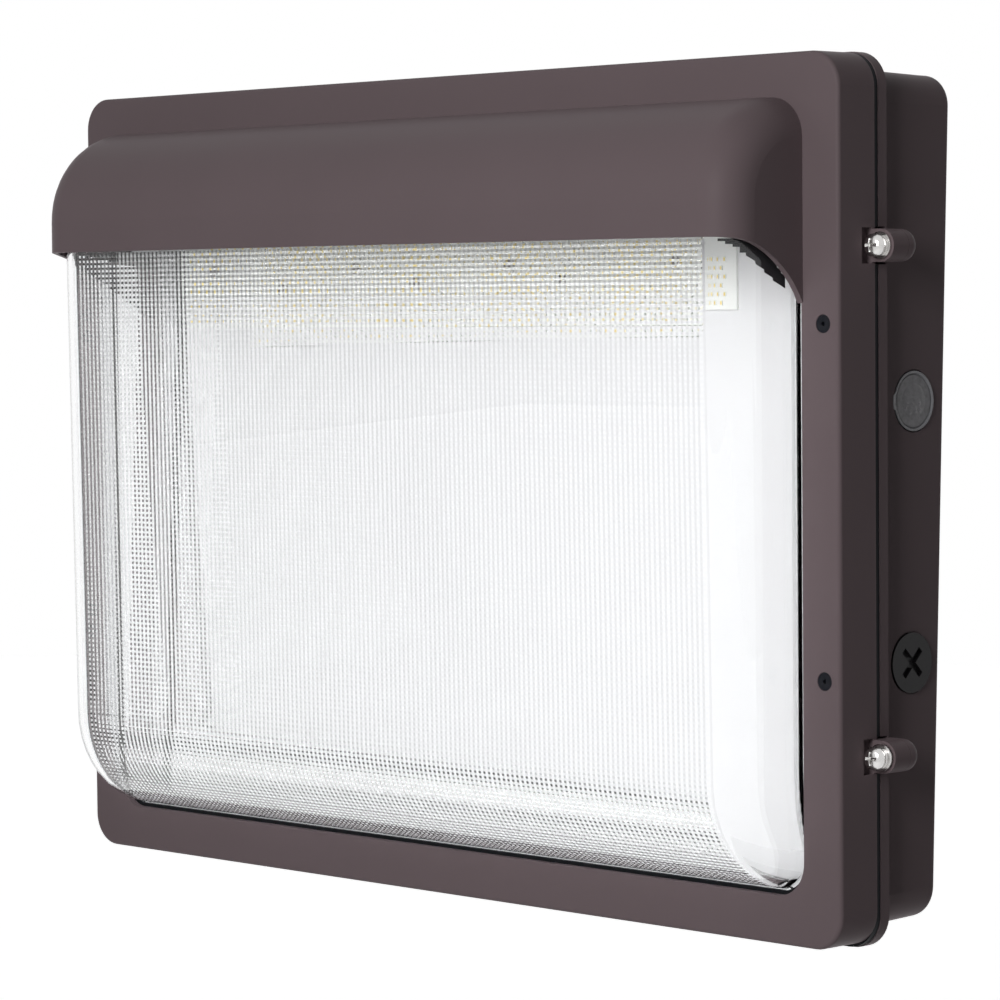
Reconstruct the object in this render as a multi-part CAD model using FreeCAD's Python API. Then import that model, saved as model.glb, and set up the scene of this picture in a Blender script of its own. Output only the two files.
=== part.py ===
"""Wall pack light: a cast box on the wall, a hinged cast door with a rain hood, and a prismatic lens.

Two frames are used. The door frame has Y = 0 on the door's front face, with +Y towards the wall.
The wall frame is the finished one: its origin is the centre of the back face, +Y points into the
wall and +Z is up. The door leans forward at the top, so lean() turns door-frame shapes into it.
All sizes are millimetres.
"""
import FreeCAD
import Part
import math
import os

V = FreeCAD.Vector
AXIS_X, AXIS_Y, AXIS_Z = V(1, 0, 0), V(0, 1, 0), V(0, 0, 1)

# Whole lamp
LEAN_DEG = 2.0              # how far the door's plane leans forward from the wall
DEPTH_AT_CENTRE = 61.0      # door face to wall, half way up

# Front door casting
DOOR_HALF_WIDTH = 200.0
DOOR_HALF_HEIGHT = 150.0
DOOR_CORNER = 12.0
DOOR_DEPTH = 18.3
DOOR_PLATE = 3.0            # thickness of the face plate
DOOR_WALL = 3.0             # thickness of the rim that runs back from the face
DOOR_EDGE_ROUND = 1.4

# Rain hood, cast in one with the door
HOOD_HALF_WIDTH = 184.2
HOOD_TOP = 135.2
HOOD_REACH = 37.2           # how far it stands out from the face
HOOD_TOP_ROUND = 35.0       # quarter round from the top to the front
HOOD_END_ROUND = 13.5       # rounding of its two ends
HOOD_WALL = 2.4
HOOD_LIP = 88.5             # height of its front lower edge
HOOD_TIP = 66.4             # height at which its ends die into the face

# Lens
LENS_HALF_WIDTH = 181.3
LENS_TAPER = 2.1            # how much narrower it is at the front, each side
LENS_TOP = 130.4
LENS_TOP_ROUND = 30.0
LENS_REACH_TOP = 32.8
LENS_REACH_LOW = 30.0
LENS_ROLL_START = -92.0     # height at which the front rolls under
LENS_ROLL = 40.0            # radius of the roll
LENS_WALL = 2.6
LENS_END_ROUND = 11.2
LENS_FLANGE_HALF_WIDTH = 188.0
LENS_FLANGE_LOW, LENS_FLANGE_HIGH = -137.5, 137.5
LENS_FLANGE_THICK = 2.0
LENS_SEAL_THICK = 1.5
LENS_SEAL_HALF_WIDTH, LENS_SEAL_LOW, LENS_SEAL_HIGH = 181.9, -132.0, 130.8
OPENING_HALF_WIDTH, OPENING_LOW = 183.5, -133.3

# Reflector tray and light source
TRAY_SHEET = 1.2
TRAY_HALF_WIDTH = 191.0
TRAY_HALF_HEIGHT = 146.0
TRAY_FLOOR_Y = 14.0         # front of the tray's floor
TRAY_MOUTH_HALF_WIDTH = 179.0
TRAY_MOUTH_LOW, TRAY_MOUTH_HIGH = -127.0, 127.0
TRAY_SLOPE = 6.0            # how far the tray's walls lean in
TRAY_GAP = 0.1
TRAY_CORNER = 8.0
TRAY_TAB_REACH, TRAY_TAB_HALF = 3.2, 7.0     # tabs round the face screws
BOARD_HALF_LENGTH = 145.0
BOARD_LOW, BOARD_HIGH = 64.4, 107.6
BOARD_THICK = 1.6
BOARD_SCREW_X = (-123.0, -41.0, 41.0, 123.0)
BOARD_SCREW_HEAD_R, BOARD_SCREW_HEAD_LONG, BOARD_SCREW_R, BOARD_SCREW_LONG = 2.6, 1.8, 1.25, 3.4
LED_ROW_PITCH = 3.0
LED_ROWS = 6
LED_FIRST_ROW = 66.7
LED_TALL, LED_THICK = 1.6, 0.7
LED_ROW_HALF_LENGTH = 142.0

# Black screws in the door's face
FACE_SCREW_X, FACE_SCREW_Z = 193.0, 59.5
FACE_SCREW_HEAD_R = 3.0
FACE_SCREW_HEAD_LONG = 2.2
FACE_SCREW_R = 1.5
FACE_SCREW_SOCKET_R, FACE_SCREW_SOCKET_DEEP = 0.8, 1.4
FACE_BOSS_R = 3.8
TRAY_SCREW_X = (-120.0, 0.0, 120.0)
TRAY_SCREW_Z = 142.4
TRAY_SCREW_HEAD_R, TRAY_SCREW_HEAD_LONG, TRAY_SCREW_LONG = 2.9, 2.2, 3.6

# Rear housing
BOX_HALF_WIDTH = 195.0      # at the flange; the sides draw in towards the wall
BOX_LOW, BOX_HIGH = -146.2, 145.3
BOX_DRAFT = 0.03            # how much the sides draw in, per millimetre of depth
BOX_CORNER = 12.0
BOX_WALL = 3.2
BOX_BACK_ROUND = 2.5
BOX_RUN = 65.0              # depth modelled before the wall plane cuts it off
FLANGE_FRONT = 21.0
FLANGE_BACK = 25.2
FLANGE_HALF_WIDTH = 199.4
FLANGE_LOW, FLANGE_HIGH = -151.6, 150.4
SEAL_FRONT = 18.4
SEAL_INSET = 0.4            # the seal's edge lies this far inside the flange's
SEAL_LIP = 0.8              # and this far outside the box's inner wall

# Captive screws on the right side
EAR_X = 204.2
EAR_Z = 85.4
EAR_R = 5.5
EAR_FRONT, EAR_BACK = 16.6, 24.4
EAR_ROOT_X = 196.2
EAR_HOLE_R = 1.8
EAR_WELL_R, EAR_WELL_FRONT = 2.3, 20.0     # the loosened screw's thread hides in here
BOSS_FRONT, BOSS_BACK = 24.5, 29.8
BOSS_R = 5.5
BOSS_NOSE = 3.2
BOSS_HOLE_R, BOSS_HOLE_END = 2.4, 28.2
NOTCH_FRONT = 11.7
NOTCH_X = 198.0
NOTCH_HALF_HEIGHT = 6.0
SCREW_HEAD_R, SCREW_HEAD_LONG = 3.9, 3.6
SCREW_WAIST_R, SCREW_THREAD_R = 1.5, 2.0
SCREW_THREAD_FRONT, SCREW_TIP = 23.0, 27.0
WASHER_R, WASHER_THICK = 4.6, 0.9
SPRING_WASHER_R, SPRING_WASHER_THICK = 3.9, 1.2
WASHER_HOLE_R = 1.8
STAR_TEETH = 12
STAR_GAP_WIDE, STAR_GAP_DEEP = 0.9, 1.3
SPLIT_GAP, SPLIT_ANGLE = 0.6, -60.0        # the spring washer's cut
TIP_CHAMFER = 0.5
FIT = 0.05                  # air left between stacked parts

# Hinge on the left side
HINGE_X, HINGE_Y = -206.0, 21.5
HINGE_Z = 85.4
KNUCKLE_R = 5.0
DOOR_KNUCKLE_HALF = 4.7
BOX_KNUCKLE_NEAR, BOX_KNUCKLE_FAR = 5.0, 14.7
HINGE_HOLE_R = 2.5
HINGE_PIN_R = 2.45
HINGE_HEAD_R, HINGE_HEAD_LONG = 3.6, 1.6

# Side fittings
SIDE_SEAT_X, UNDER_SEAT_Z = 194.0, -145.3   # spot faces that the fittings sit on
SPOT_FACE = 0.5             # spot face beyond the fitting's rim
PHOTOCELL_SEAT_X = 193.2    # a deeper spot face, so that the sensor lies almost flush
PHOTOCELL_Y, PHOTOCELL_Z = 44.7, 32.9
PHOTOCELL_RIM_R, PHOTOCELL_RIM_OUT = 10.25, 1.0
PHOTOCELL_EDGE_ROUND = 0.4
PHOTOCELL_SEAL = 0.6
PHOTOCELL_BODY_R, PHOTOCELL_BODY_LONG = 8.0, 24.0
PHOTOCELL_NUT_R, PHOTOCELL_NUT_LONG = 11.0, 5.0
NUT_GAP = 0.4               # the nut bears on the drafted wall at one edge
PLUG_Y, PLUG_Z = 42.8, -56.1
PLUG_R, PLUG_OUT = 10.3, 1.0
PLUG_THREAD_R, PLUG_THREAD_LONG = 9.3, 8.0
PLUG_HOLE_R = 9.5
PLUG_RIM, PLUG_DISH = 1.1, 0.5
CROSS_LONG, CROSS_WIDE, CROSS_DEEP = 12.4, 2.4, 1.2

# Back wall, in the wall frame
WALL_HOLE_X, WALL_HOLE_Z, WALL_HOLE_R = 150.0, 100.0, 3.5
WALL_PAD_R, WALL_PAD_TALL = 9.0, 3.0
SCREW_PAD_R, EARTH_PAD_TALL = 6.0, 4.0
PILOT_HOLE_R = 1.7
BOX_SCREW_X, BOX_SCREW_R = 44.45, 2.75
ENTRY_Z, ENTRY_R = -38.0, 14.0
GROMMET_R, GROMMET_LIP_R, GROMMET_BORE_R, GROMMET_LIP = 13.7, 17.0, 8.0, 2.0

# Driver and wiring parts, in the wall frame
DRIVER_HALF_LENGTH, DRIVER_LOW, DRIVER_HIGH = 76.0, 40.0, 88.0
DRIVER_DEEP = 27.0
DRIVER_PAD = 3.0
DRIVER_TAB = 11.0
DRIVER_TAB_THICK, DRIVER_TAB_INSET, DRIVER_TAB_HOLE_R = 1.5, 14.0, 2.1
DRIVER_FOLD = 2.5
DRIVER_SCREW_HEAD_R, DRIVER_SCREW_HEAD_LONG, DRIVER_SCREW_R, DRIVER_SCREW_LONG = 3.6, 2.6, 1.65, 6.0
CAP_LONG, CAP_INSET, CAP_FRONT, CAP_BACK = 4.0, 6.0, 4.0, 8.0
TERMINAL_X, TERMINAL_Z = 92.0, -78.0
TERMINAL_LONG, TERMINAL_TALL, TERMINAL_DEEP = 42.0, 20.0, 17.0
TERMINAL_POLES = 3
TERMINAL_WAY_R, TERMINAL_WAY_DEPTH = 2.6, 8.0
TERMINAL_WELL_R, TERMINAL_WELL_DEEP, TERMINAL_WELL_Z = 2.3, 6.0, 5.0
TERMINAL_SCREW_R, TERMINAL_SCREW_LONG, TERMINAL_SCREW_SUNK = 2.0, 3.2, 2.5
EARTH_X, EARTH_Z = -96.0, -78.0
EARTH_HEAD_R, EARTH_HEAD_LONG, EARTH_SCREW_R, EARTH_SCREW_LONG = 4.0, 2.8, 1.65, 5.5


def lean(shape):
    """Move a shape from the door frame to the wall frame."""
    moved = shape.copy()
    moved.translate(V(0, -DEPTH_AT_CENTRE, 0))
    moved.rotate(V(0, 0, 0), AXIS_X, LEAN_DEG)
    return moved


def block(low, high):
    """A box between two opposite corners."""
    return Part.makeBox(high[0] - low[0], high[1] - low[1], high[2] - low[2], V(*low))


def rod(base, direction, radius, length):
    """A cylinder from its base centre along a direction."""
    return Part.makeCylinder(radius, length, V(*base), direction)


def ring(base, direction, radius, hole, length):
    """A cylinder with a round hole through it."""
    start = V(*base)
    over = start - direction
    return rod(base, direction, radius, length).cut(rod(tuple(over), direction, hole, length + 2))


def join(shapes):
    """One solid out of several that overlap."""
    whole = shapes[0]
    for shape in shapes[1:]:
        whole = whole.fuse(shape)
    return whole.removeSplitter()


def plate(half_width, low, high, corner, front, back):
    """A rounded rectangle in X and Z, from one depth to another."""
    solid = block((-half_width, front, low), (half_width, back, high))
    upright = [edge for edge in solid.Edges if abs(edge.Length - (back - front)) < 1e-6
               and abs(edge.tangentAt(edge.FirstParameter).y) > 0.99]
    return solid.makeFillet(corner, upright)


def tapered_plate(half_width, low, high, corner, front, back, draft):
    """A rounded rectangle that draws in by the draft on its way from front to back."""
    levels = []
    for depth, trim in ((front, 0.0), (back, draft * (back - front))):
        slab = plate(half_width - trim, low + trim, high - trim, corner - trim, depth, depth + 1)
        rim = [e for e in slab.Edges if all(abs(v.Y - depth) < 1e-6 for v in e.Vertexes)]
        levels.append(Part.Wire(Part.__sortEdges__(rim)))
    return Part.makeLoft(levels, True, True)


def outline(points_and_arcs):
    """A closed face from lines ('to', point) and arcs ('arc', middle, end), starting at a point."""
    start = points_and_arcs[0]
    here, edges = start, []
    for step in points_and_arcs[1:]:
        end = step[-1]
        if step[0] == "arc":
            edges.append(Part.Arc(here, step[1], end).toShape())
        else:
            edges.append(Part.LineSegment(here, end).toShape())
        here = end
    edges.append(Part.LineSegment(here, start).toShape())
    return Part.Face(Part.Wire(edges))


def side_profile(half_width, points_and_arcs):
    """Extrude a Y-Z outline over the whole width."""
    return outline(points_and_arcs).extrude(V(2 * half_width, 0, 0))


def round_ends(solid, half_width, radius, keep):
    """Round the end edges of an extruded profile where keep(y, z) is true."""
    chosen = []
    for edge in solid.Edges:
        middle = edge.valueAt((edge.FirstParameter + edge.LastParameter) / 2)
        ends_at_side = all(abs(abs(v.X) - half_width) < LENS_TAPER + 0.5 for v in edge.Vertexes)
        along_x = abs(edge.tangentAt(edge.FirstParameter).x) > 0.9
        if ends_at_side and not along_x and keep(middle.y, middle.z):
            chosen.append(edge)
    return solid.makeFillet(radius, chosen)


def hood_block(inset, back):
    """The hood's outer form, or its hollow when inset by the wall."""
    half = HOOD_HALF_WIDTH - inset
    front, top = -(HOOD_REACH - inset), HOOD_TOP - inset
    radius = HOOD_TOP_ROUND - inset
    floor = HOOD_TIP - 12.0
    middle_y = front + radius * (1 - math.cos(math.radians(45)))
    middle_z = top - radius * (1 - math.sin(math.radians(45)))
    solid = side_profile(half, [
        V(-half, back, top),
        ("to", V(-half, front + radius, top)),
        ("arc", V(-half, middle_y, middle_z), V(-half, front, top - radius)),
        ("to", V(-half, front, floor)),
        ("to", V(-half, back, floor)),
    ])
    return round_ends(solid, half, HOOD_END_ROUND - inset,
                      lambda y, z: z > floor + 1 and y < back - 1e-3)


def above_skirt(half_width, drop, back):
    """Everything above the hood's lower edge, which sweeps down to the face at both ends."""
    run, fall = HOOD_REACH, HOOD_LIP - HOOD_TIP
    radius = (run * run + fall * fall) / (2 * fall)
    half_turn = math.asin(run / radius) / 2
    lip, tip = HOOD_LIP - drop, HOOD_TIP - drop
    middle = V(-half_width, -run + radius * math.sin(half_turn),
               lip - radius * (1 - math.cos(half_turn)))
    return side_profile(half_width, [
        V(-half_width, -2 * run, lip),
        ("to", V(-half_width, -run, lip)),
        ("arc", middle, V(-half_width, 0, tip)),
        ("to", V(-half_width, back, tip)),
        ("to", V(-half_width, back, DOOR_HALF_HEIGHT)),
        ("to", V(-half_width, -2 * run, DOOR_HALF_HEIGHT)),
    ])


def lens_block(inset, back):
    """The lens's outer form, or its hollow when inset by the wall."""
    half = LENS_HALF_WIDTH - inset
    front_top = -(LENS_REACH_TOP - inset)
    front_low = -(LENS_REACH_LOW - inset)
    top, top_round, roll = LENS_TOP - inset, LENS_TOP_ROUND - inset, LENS_ROLL - inset
    top_mid = (front_top + top_round * (1 - math.cos(math.radians(45))),
               top - top_round * (1 - math.sin(math.radians(45))))
    roll_centre_y = front_low + roll
    end_angle = math.acos((roll_centre_y - back) / roll) if roll_centre_y > back else math.pi / 2
    end_y = roll_centre_y - roll * math.cos(end_angle)
    end_z = LENS_ROLL_START - roll * math.sin(end_angle)
    mid_y = roll_centre_y - roll * math.cos(end_angle / 2)
    mid_z = LENS_ROLL_START - roll * math.sin(end_angle / 2)
    wide = half + LENS_TAPER
    side = side_profile(wide, [
        V(-wide, back, top),
        ("to", V(-wide, front_top + top_round, top)),
        ("arc", V(-wide, *top_mid), V(-wide, front_top, top - top_round)),
        ("to", V(-wide, front_low, LENS_ROLL_START)),
        ("arc", V(-wide, mid_y, mid_z), V(-wide, end_y, end_z)),
    ])
    slope = LENS_TAPER / LENS_REACH_TOP
    low = -DOOR_HALF_HEIGHT
    deep, shallow = LENS_REACH_TOP + 5, back + 1
    wedge = outline([
        V(-half - slope * shallow, shallow, low),
        ("to", V(-half + slope * deep, -deep, low)),
        ("to", V(half - slope * deep, -deep, low)),
        ("to", V(half + slope * shallow, shallow, low)),
    ]).extrude(V(0, 0, 2 * DOOR_HALF_HEIGHT))
    solid = side.common(wedge)
    return round_ends(solid, half, LENS_END_ROUND - inset, lambda y, z: y < back - 1e-3)


def opening():
    """The hole in the door's face: lens-shaped below the hood, hood-shaped inside it."""
    half = OPENING_HALF_WIDTH
    whole = plate(half, OPENING_LOW, DOOR_HALF_HEIGHT, DOOR_CORNER, -1, DOOR_PLATE + 1)
    return whole.cut(block((-half - 1, -2, HOOD_TIP),
                           (half + 1, DOOR_PLATE + 2, DOOR_HALF_HEIGHT + 1)))


def slot_outline(x_root, x_round, radius, front, back, z):
    """A tongue that runs outwards in X and ends in a half round."""
    tongue = block((x_root, front, z - radius), (x_round, back, z + radius))
    return join([tongue, rod((x_round, front, z), AXIS_Y, radius, back - front)])


def door_hinge_knuckle(z):
    """The door's knuckle with its arm to the rim."""
    low = z - DOOR_KNUCKLE_HALF
    arm = outline([
        V(-DOOR_HALF_WIDTH + 1, 8, low),
        ("to", V(-DOOR_HALF_WIDTH + 1, DOOR_DEPTH - 0.2, low)),
        ("to", V(HINGE_X + KNUCKLE_R - 0.2, HINGE_Y, low)),
        ("to", V(HINGE_X - KNUCKLE_R, HINGE_Y, low)),
    ]).extrude(V(0, 0, 2 * DOOR_KNUCKLE_HALF))
    barrel = rod((HINGE_X, HINGE_Y, low), AXIS_Z, KNUCKLE_R, 2 * DOOR_KNUCKLE_HALF)
    hole = rod((HINGE_X, HINGE_Y, low - 1), AXIS_Z, HINGE_HOLE_R, 2 * DOOR_KNUCKLE_HALF + 2)
    return join([arm, barrel]).cut(hole)


def box_hinge_knuckle(low, high):
    """One of the housing's knuckles with its arm to the side wall."""
    arm = outline([
        V(HINGE_X + KNUCKLE_R - 0.2, HINGE_Y, low),
        ("to", V(-BOX_HALF_WIDTH + 1, FLANGE_BACK - 1, low)),
        ("to", V(-BOX_HALF_WIDTH + 1, FLANGE_BACK + 12, low)),
        ("to", V(HINGE_X - 2.6, HINGE_Y + 4.2, low)),
    ]).extrude(V(0, 0, high - low))
    barrel = rod((HINGE_X, HINGE_Y, low), AXIS_Z, KNUCKLE_R, high - low)
    hole = rod((HINGE_X, HINGE_Y, low - 1), AXIS_Z, HINGE_HOLE_R, high - low + 2)
    return join([arm, barrel]).cut(hole)


def front_door():
    """The door casting with its hood, ears, knuckles and screw bosses."""
    shell = plate(DOOR_HALF_WIDTH, -DOOR_HALF_HEIGHT, DOOR_HALF_HEIGHT, DOOR_CORNER, 0, DOOR_DEPTH)
    front_edges = [e for e in shell.Edges if all(abs(v.Y) < 1e-6 for v in e.Vertexes)]
    shell = shell.makeFillet(DOOR_EDGE_ROUND, front_edges)
    inside = plate(DOOR_HALF_WIDTH - DOOR_WALL, -DOOR_HALF_HEIGHT + DOOR_WALL,
                   DOOR_HALF_HEIGHT - DOOR_WALL, DOOR_CORNER - DOOR_WALL, DOOR_PLATE, DOOR_DEPTH + 1)
    shell = shell.cut(inside)
    hood = hood_block(0, 1.0).common(above_skirt(HOOD_HALF_WIDTH + 1, 0, 2.0))
    bosses = [rod((sx * FACE_SCREW_X, 1, sz * FACE_SCREW_Z), AXIS_Y, FACE_BOSS_R, seat_y() - 1)
              for sx in (-1, 1) for sz in (-1, 1)]
    bosses += [rod((x, 1, sz * TRAY_SCREW_Z), AXIS_Y, FACE_BOSS_R - 0.4, seat_y() - 1)
               for x in TRAY_SCREW_X for sz in (-1, 1)]
    ears = []
    for z in (EAR_Z, -EAR_Z):
        ears.append(block((EAR_ROOT_X - 3, 1, z - EAR_R - 2),
                          (DOOR_HALF_WIDTH - 1, DOOR_DEPTH, z + EAR_R + 2)))
        ears.append(slot_outline(EAR_ROOT_X, EAR_X, EAR_R, EAR_FRONT, EAR_BACK, z))
    knuckles = [door_hinge_knuckle(z) for z in (HINGE_Z, -HINGE_Z)]
    door = join([shell, hood] + bosses + ears + knuckles)
    cuts = [opening(), hood_block(HOOD_WALL, DOOR_PLATE + 1).common(
        above_skirt(HOOD_HALF_WIDTH, 20, DOOR_PLATE + 1))]
    for sx in (-1, 1):
        for sz in (-1, 1):
            hole = (sx * FACE_SCREW_X, -1, sz * FACE_SCREW_Z)
            cuts.append(rod(hole, AXIS_Y, FACE_SCREW_HEAD_R + 0.15, FACE_SCREW_HEAD_LONG + 1.1))
            cuts.append(rod(hole, AXIS_Y, FACE_SCREW_R + 0.2, 20))
    for z in (EAR_Z, -EAR_Z):
        cuts.append(block((NOTCH_X, NOTCH_FRONT, z - NOTCH_HALF_HEIGHT),
                          (DOOR_HALF_WIDTH + 1, EAR_FRONT, z + NOTCH_HALF_HEIGHT)))
        cuts.append(rod((EAR_X, EAR_FRONT - 8, z), AXIS_Y, EAR_HOLE_R, 20))
        cuts.append(rod((EAR_X, EAR_WELL_FRONT, z), AXIS_Y, EAR_WELL_R, 20))
    for x in TRAY_SCREW_X:
        for sz in (-1, 1):
            cuts.append(rod((x, 3.5, sz * TRAY_SCREW_Z), AXIS_Y, FACE_SCREW_R, 6))
    for cutter in cuts:
        door = door.cut(cutter)
    return door


def seat_y():
    """Depth at which the tray's flange sits on the door's bosses."""
    return DOOR_PLATE + LENS_SEAL_THICK + LENS_FLANGE_THICK + TRAY_GAP


def lens():
    """The clear cover, hollow behind, with a flange that the door's plate holds."""
    front = DOOR_PLATE + LENS_SEAL_THICK
    back = front + LENS_FLANGE_THICK
    body = lens_block(0, front + 0.5)
    flange = plate(LENS_FLANGE_HALF_WIDTH, LENS_FLANGE_LOW, LENS_FLANGE_HIGH, DOOR_CORNER,
                   front, back)
    return join([body, flange]).cut(lens_block(LENS_WALL, back + 1))


def lens_gasket():
    """The flat seal between the lens's flange and the door's plate."""
    front = DOOR_PLATE
    back = front + LENS_SEAL_THICK
    seal = plate(LENS_FLANGE_HALF_WIDTH, LENS_FLANGE_LOW, LENS_FLANGE_HIGH, DOOR_CORNER, front, back)
    hollow = plate(LENS_SEAL_HALF_WIDTH, LENS_SEAL_LOW, LENS_SEAL_HIGH, DOOR_CORNER - 1,
                   front - 1, back + 1)
    return seal.cut(hollow)


def reflector_tray():
    """The white dish behind the lens, with tabs for the face screws."""
    front = seat_y()
    back = front + TRAY_SHEET
    flange = plate(TRAY_HALF_WIDTH, -TRAY_HALF_HEIGHT, TRAY_HALF_HEIGHT, TRAY_CORNER, front, back)
    reach, half = FACE_SCREW_X + TRAY_TAB_REACH, TRAY_TAB_HALF
    tabs = [block((-reach, front, sz * FACE_SCREW_Z - half), (reach, back, sz * FACE_SCREW_Z + half))
            for sz in (-1, 1)]
    outer = dish(front, TRAY_FLOOR_Y + TRAY_SHEET, 0)
    inner = dish(front - 0.5, TRAY_FLOOR_Y, TRAY_SHEET)
    tray = join([flange] + tabs + [outer]).cut(inner)
    for sx in (-1, 1):
        for sz in (-1, 1):
            hole = (sx * FACE_SCREW_X, front - 1, sz * FACE_SCREW_Z)
            tray = tray.cut(rod(hole, AXIS_Y, FACE_SCREW_R, 5))
    for x in TRAY_SCREW_X:
        for sz in (-1, 1):
            tray = tray.cut(rod((x, front - 1, sz * TRAY_SCREW_Z), AXIS_Y, FACE_SCREW_R + 0.2, 5))
    for x in BOARD_SCREW_X:
        tray = tray.cut(rod((x, TRAY_FLOOR_Y - 1, board_screw_z()), AXIS_Y,
                            BOARD_SCREW_R + FIT, 5))
    return tray


def dish(front, back, inset):
    """A shallow tapered form between two depths, wide at the front."""
    wide, narrow = TRAY_MOUTH_HALF_WIDTH - inset, TRAY_MOUTH_HALF_WIDTH - TRAY_SLOPE - inset
    levels = []
    for depth, half, trim in ((front, wide, 0), (back, narrow, TRAY_SLOPE)):
        low, high = TRAY_MOUTH_LOW + inset + trim, TRAY_MOUTH_HIGH - inset - trim
        corners = [V(-half, depth, low), V(half, depth, low), V(half, depth, high),
                   V(-half, depth, high)]
        levels.append(Part.makePolygon(corners + [corners[0]]))
    return Part.makeLoft(levels, True, True)


def board_screw_z():
    """The board's screws run along its middle."""
    return (BOARD_LOW + BOARD_HIGH) / 2


def led_board():
    """The metal-core board across the top of the tray."""
    board = block((-BOARD_HALF_LENGTH, TRAY_FLOOR_Y - BOARD_THICK, BOARD_LOW),
                  (BOARD_HALF_LENGTH, TRAY_FLOOR_Y, BOARD_HIGH))
    for x in BOARD_SCREW_X:
        board = board.cut(rod((x, TRAY_FLOOR_Y - 5, board_screw_z()), AXIS_Y, PILOT_HOLE_R, 10))
    return board


def led_rows():
    """The light source: two banks of rows, mirrored about the board's screws."""
    front = TRAY_FLOOR_Y - BOARD_THICK - LED_THICK
    rows = []
    for number in range(LED_ROWS):
        below = LED_FIRST_ROW + number * LED_ROW_PITCH
        for z in (below, 2 * board_screw_z() - below):
            rows.append(block((-LED_ROW_HALF_LENGTH, front, z - LED_TALL / 2),
                              (LED_ROW_HALF_LENGTH, front + LED_THICK, z + LED_TALL / 2)))
    return Part.makeCompound(rows)


def pan_screw(head_centre, direction, head_r, head_long, shank_r, shank_long):
    """A pan-head screw with a cross recess, seated with its head's underside at a point."""
    seat = V(*head_centre)
    top = seat - direction * head_long
    head = Part.makeCylinder(head_r, head_long, top, direction)
    crown = [e for e in head.Edges if e.Curve.TypeId == "Part::GeomCircle"
             and (e.Curve.Center - top).Length < 1e-6]
    head = head.makeFillet(head_long * 0.45, crown)
    shank = Part.makeCylinder(shank_r, shank_long + 0.2, seat - direction * 0.2, direction)
    return join([head, shank]).cut(cross_recess(top, direction, head_r * 1.15, head_r * 0.26,
                                                head_long * 0.5))


def cross_recess(top, direction, long, wide, deep):
    """A cross cut into a face, to be removed from it."""
    across = AXIS_Z if abs(direction.z) < 0.5 else AXIS_X
    other = direction.cross(across)
    arms = []
    for a, b in ((across, other), (other, across)):
        corner = top - direction - a * (long / 2) - b * (wide / 2)
        face = Part.Face(Part.makePolygon([corner, corner + a * long, corner + a * long + b * wide,
                                           corner + b * wide, corner]))
        arms.append(face.extrude(direction * (deep + 1)))
    return join(arms)


def face_screws():
    """The four black screws that show in the door's face."""
    screws = []
    for sx in (-1, 1):
        for sz in (-1, 1):
            start = (sx * FACE_SCREW_X, 0.1, sz * FACE_SCREW_Z)
            head = rod(start, AXIS_Y, FACE_SCREW_HEAD_R, FACE_SCREW_HEAD_LONG - 0.2)
            shank = rod(start, AXIS_Y, FACE_SCREW_R, seat_y() + TRAY_SHEET + 1.5)
            socket = rod((start[0], -1, start[2]), AXIS_Y, FACE_SCREW_SOCKET_R,
                         1 + FACE_SCREW_SOCKET_DEEP)
            screws.append(join([head, shank]).cut(socket))
    return Part.makeCompound(screws)


def tray_screws():
    """The screws that hold the tray's top and bottom flanges from behind."""
    back = seat_y() + TRAY_SHEET
    return Part.makeCompound([
        pan_screw((x, back, sz * TRAY_SCREW_Z), V(0, -1, 0), TRAY_SCREW_HEAD_R,
                  TRAY_SCREW_HEAD_LONG, FACE_SCREW_R - FIT, TRAY_SCREW_LONG)
        for x in TRAY_SCREW_X for sz in (-1, 1)])


def board_screws():
    """The screws that hold the board to the tray."""
    front = TRAY_FLOOR_Y - BOARD_THICK
    return Part.makeCompound([
        pan_screw((x, front, board_screw_z()), AXIS_Y, BOARD_SCREW_HEAD_R,
                  BOARD_SCREW_HEAD_LONG, BOARD_SCREW_R, BOARD_SCREW_LONG)
        for x in BOARD_SCREW_X])


def captive_screw(z):
    """Pan head, thin waist in the ear's hole, and a thread that is too wide to fall out."""
    seat = EAR_FRONT - washer_stack(z) - FIT
    head = pan_screw((EAR_X, seat, z), AXIS_Y, SCREW_HEAD_R, SCREW_HEAD_LONG, SCREW_WAIST_R,
                     SCREW_TIP - seat)
    thread = rod((EAR_X, SCREW_THREAD_FRONT, z), AXIS_Y, SCREW_THREAD_R,
                 SCREW_TIP - SCREW_THREAD_FRONT)
    tip = [e for e in thread.Edges if e.Curve.TypeId == "Part::GeomCircle"
           and abs(e.Curve.Center.y - SCREW_TIP) < 1e-6]
    return join([head, thread.makeChamfer(TIP_CHAMFER, tip)])


def washer_stack(z):
    """Thickness of the washers under a captive screw's head."""
    star = WASHER_THICK if z < 0 else 0.0
    return star + WASHER_THICK + SPRING_WASHER_THICK


def flat_washer(z):
    """The flat washer; the lower one lies on the toothed washer."""
    star = WASHER_THICK if z < 0 else 0.0
    start = (EAR_X, EAR_FRONT - star - WASHER_THICK, z)
    return ring(start, AXIS_Y, WASHER_R, WASHER_HOLE_R, WASHER_THICK - FIT)


def spring_washer(z):
    """The split washer, with its slanted gap."""
    star = WASHER_THICK if z < 0 else 0.0
    start = (EAR_X, EAR_FRONT - star - WASHER_THICK - SPRING_WASHER_THICK, z)
    body = ring(start, AXIS_Y, SPRING_WASHER_R, WASHER_HOLE_R, SPRING_WASHER_THICK - FIT)
    gap = block((EAR_X, start[1] - 1, z - SPLIT_GAP / 2),
                (EAR_X + 2 * SPRING_WASHER_R, start[1] + 3, z + SPLIT_GAP / 2))
    gap.rotate(V(*start), AXIS_Y, SPLIT_ANGLE)
    return body.cut(gap)


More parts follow.
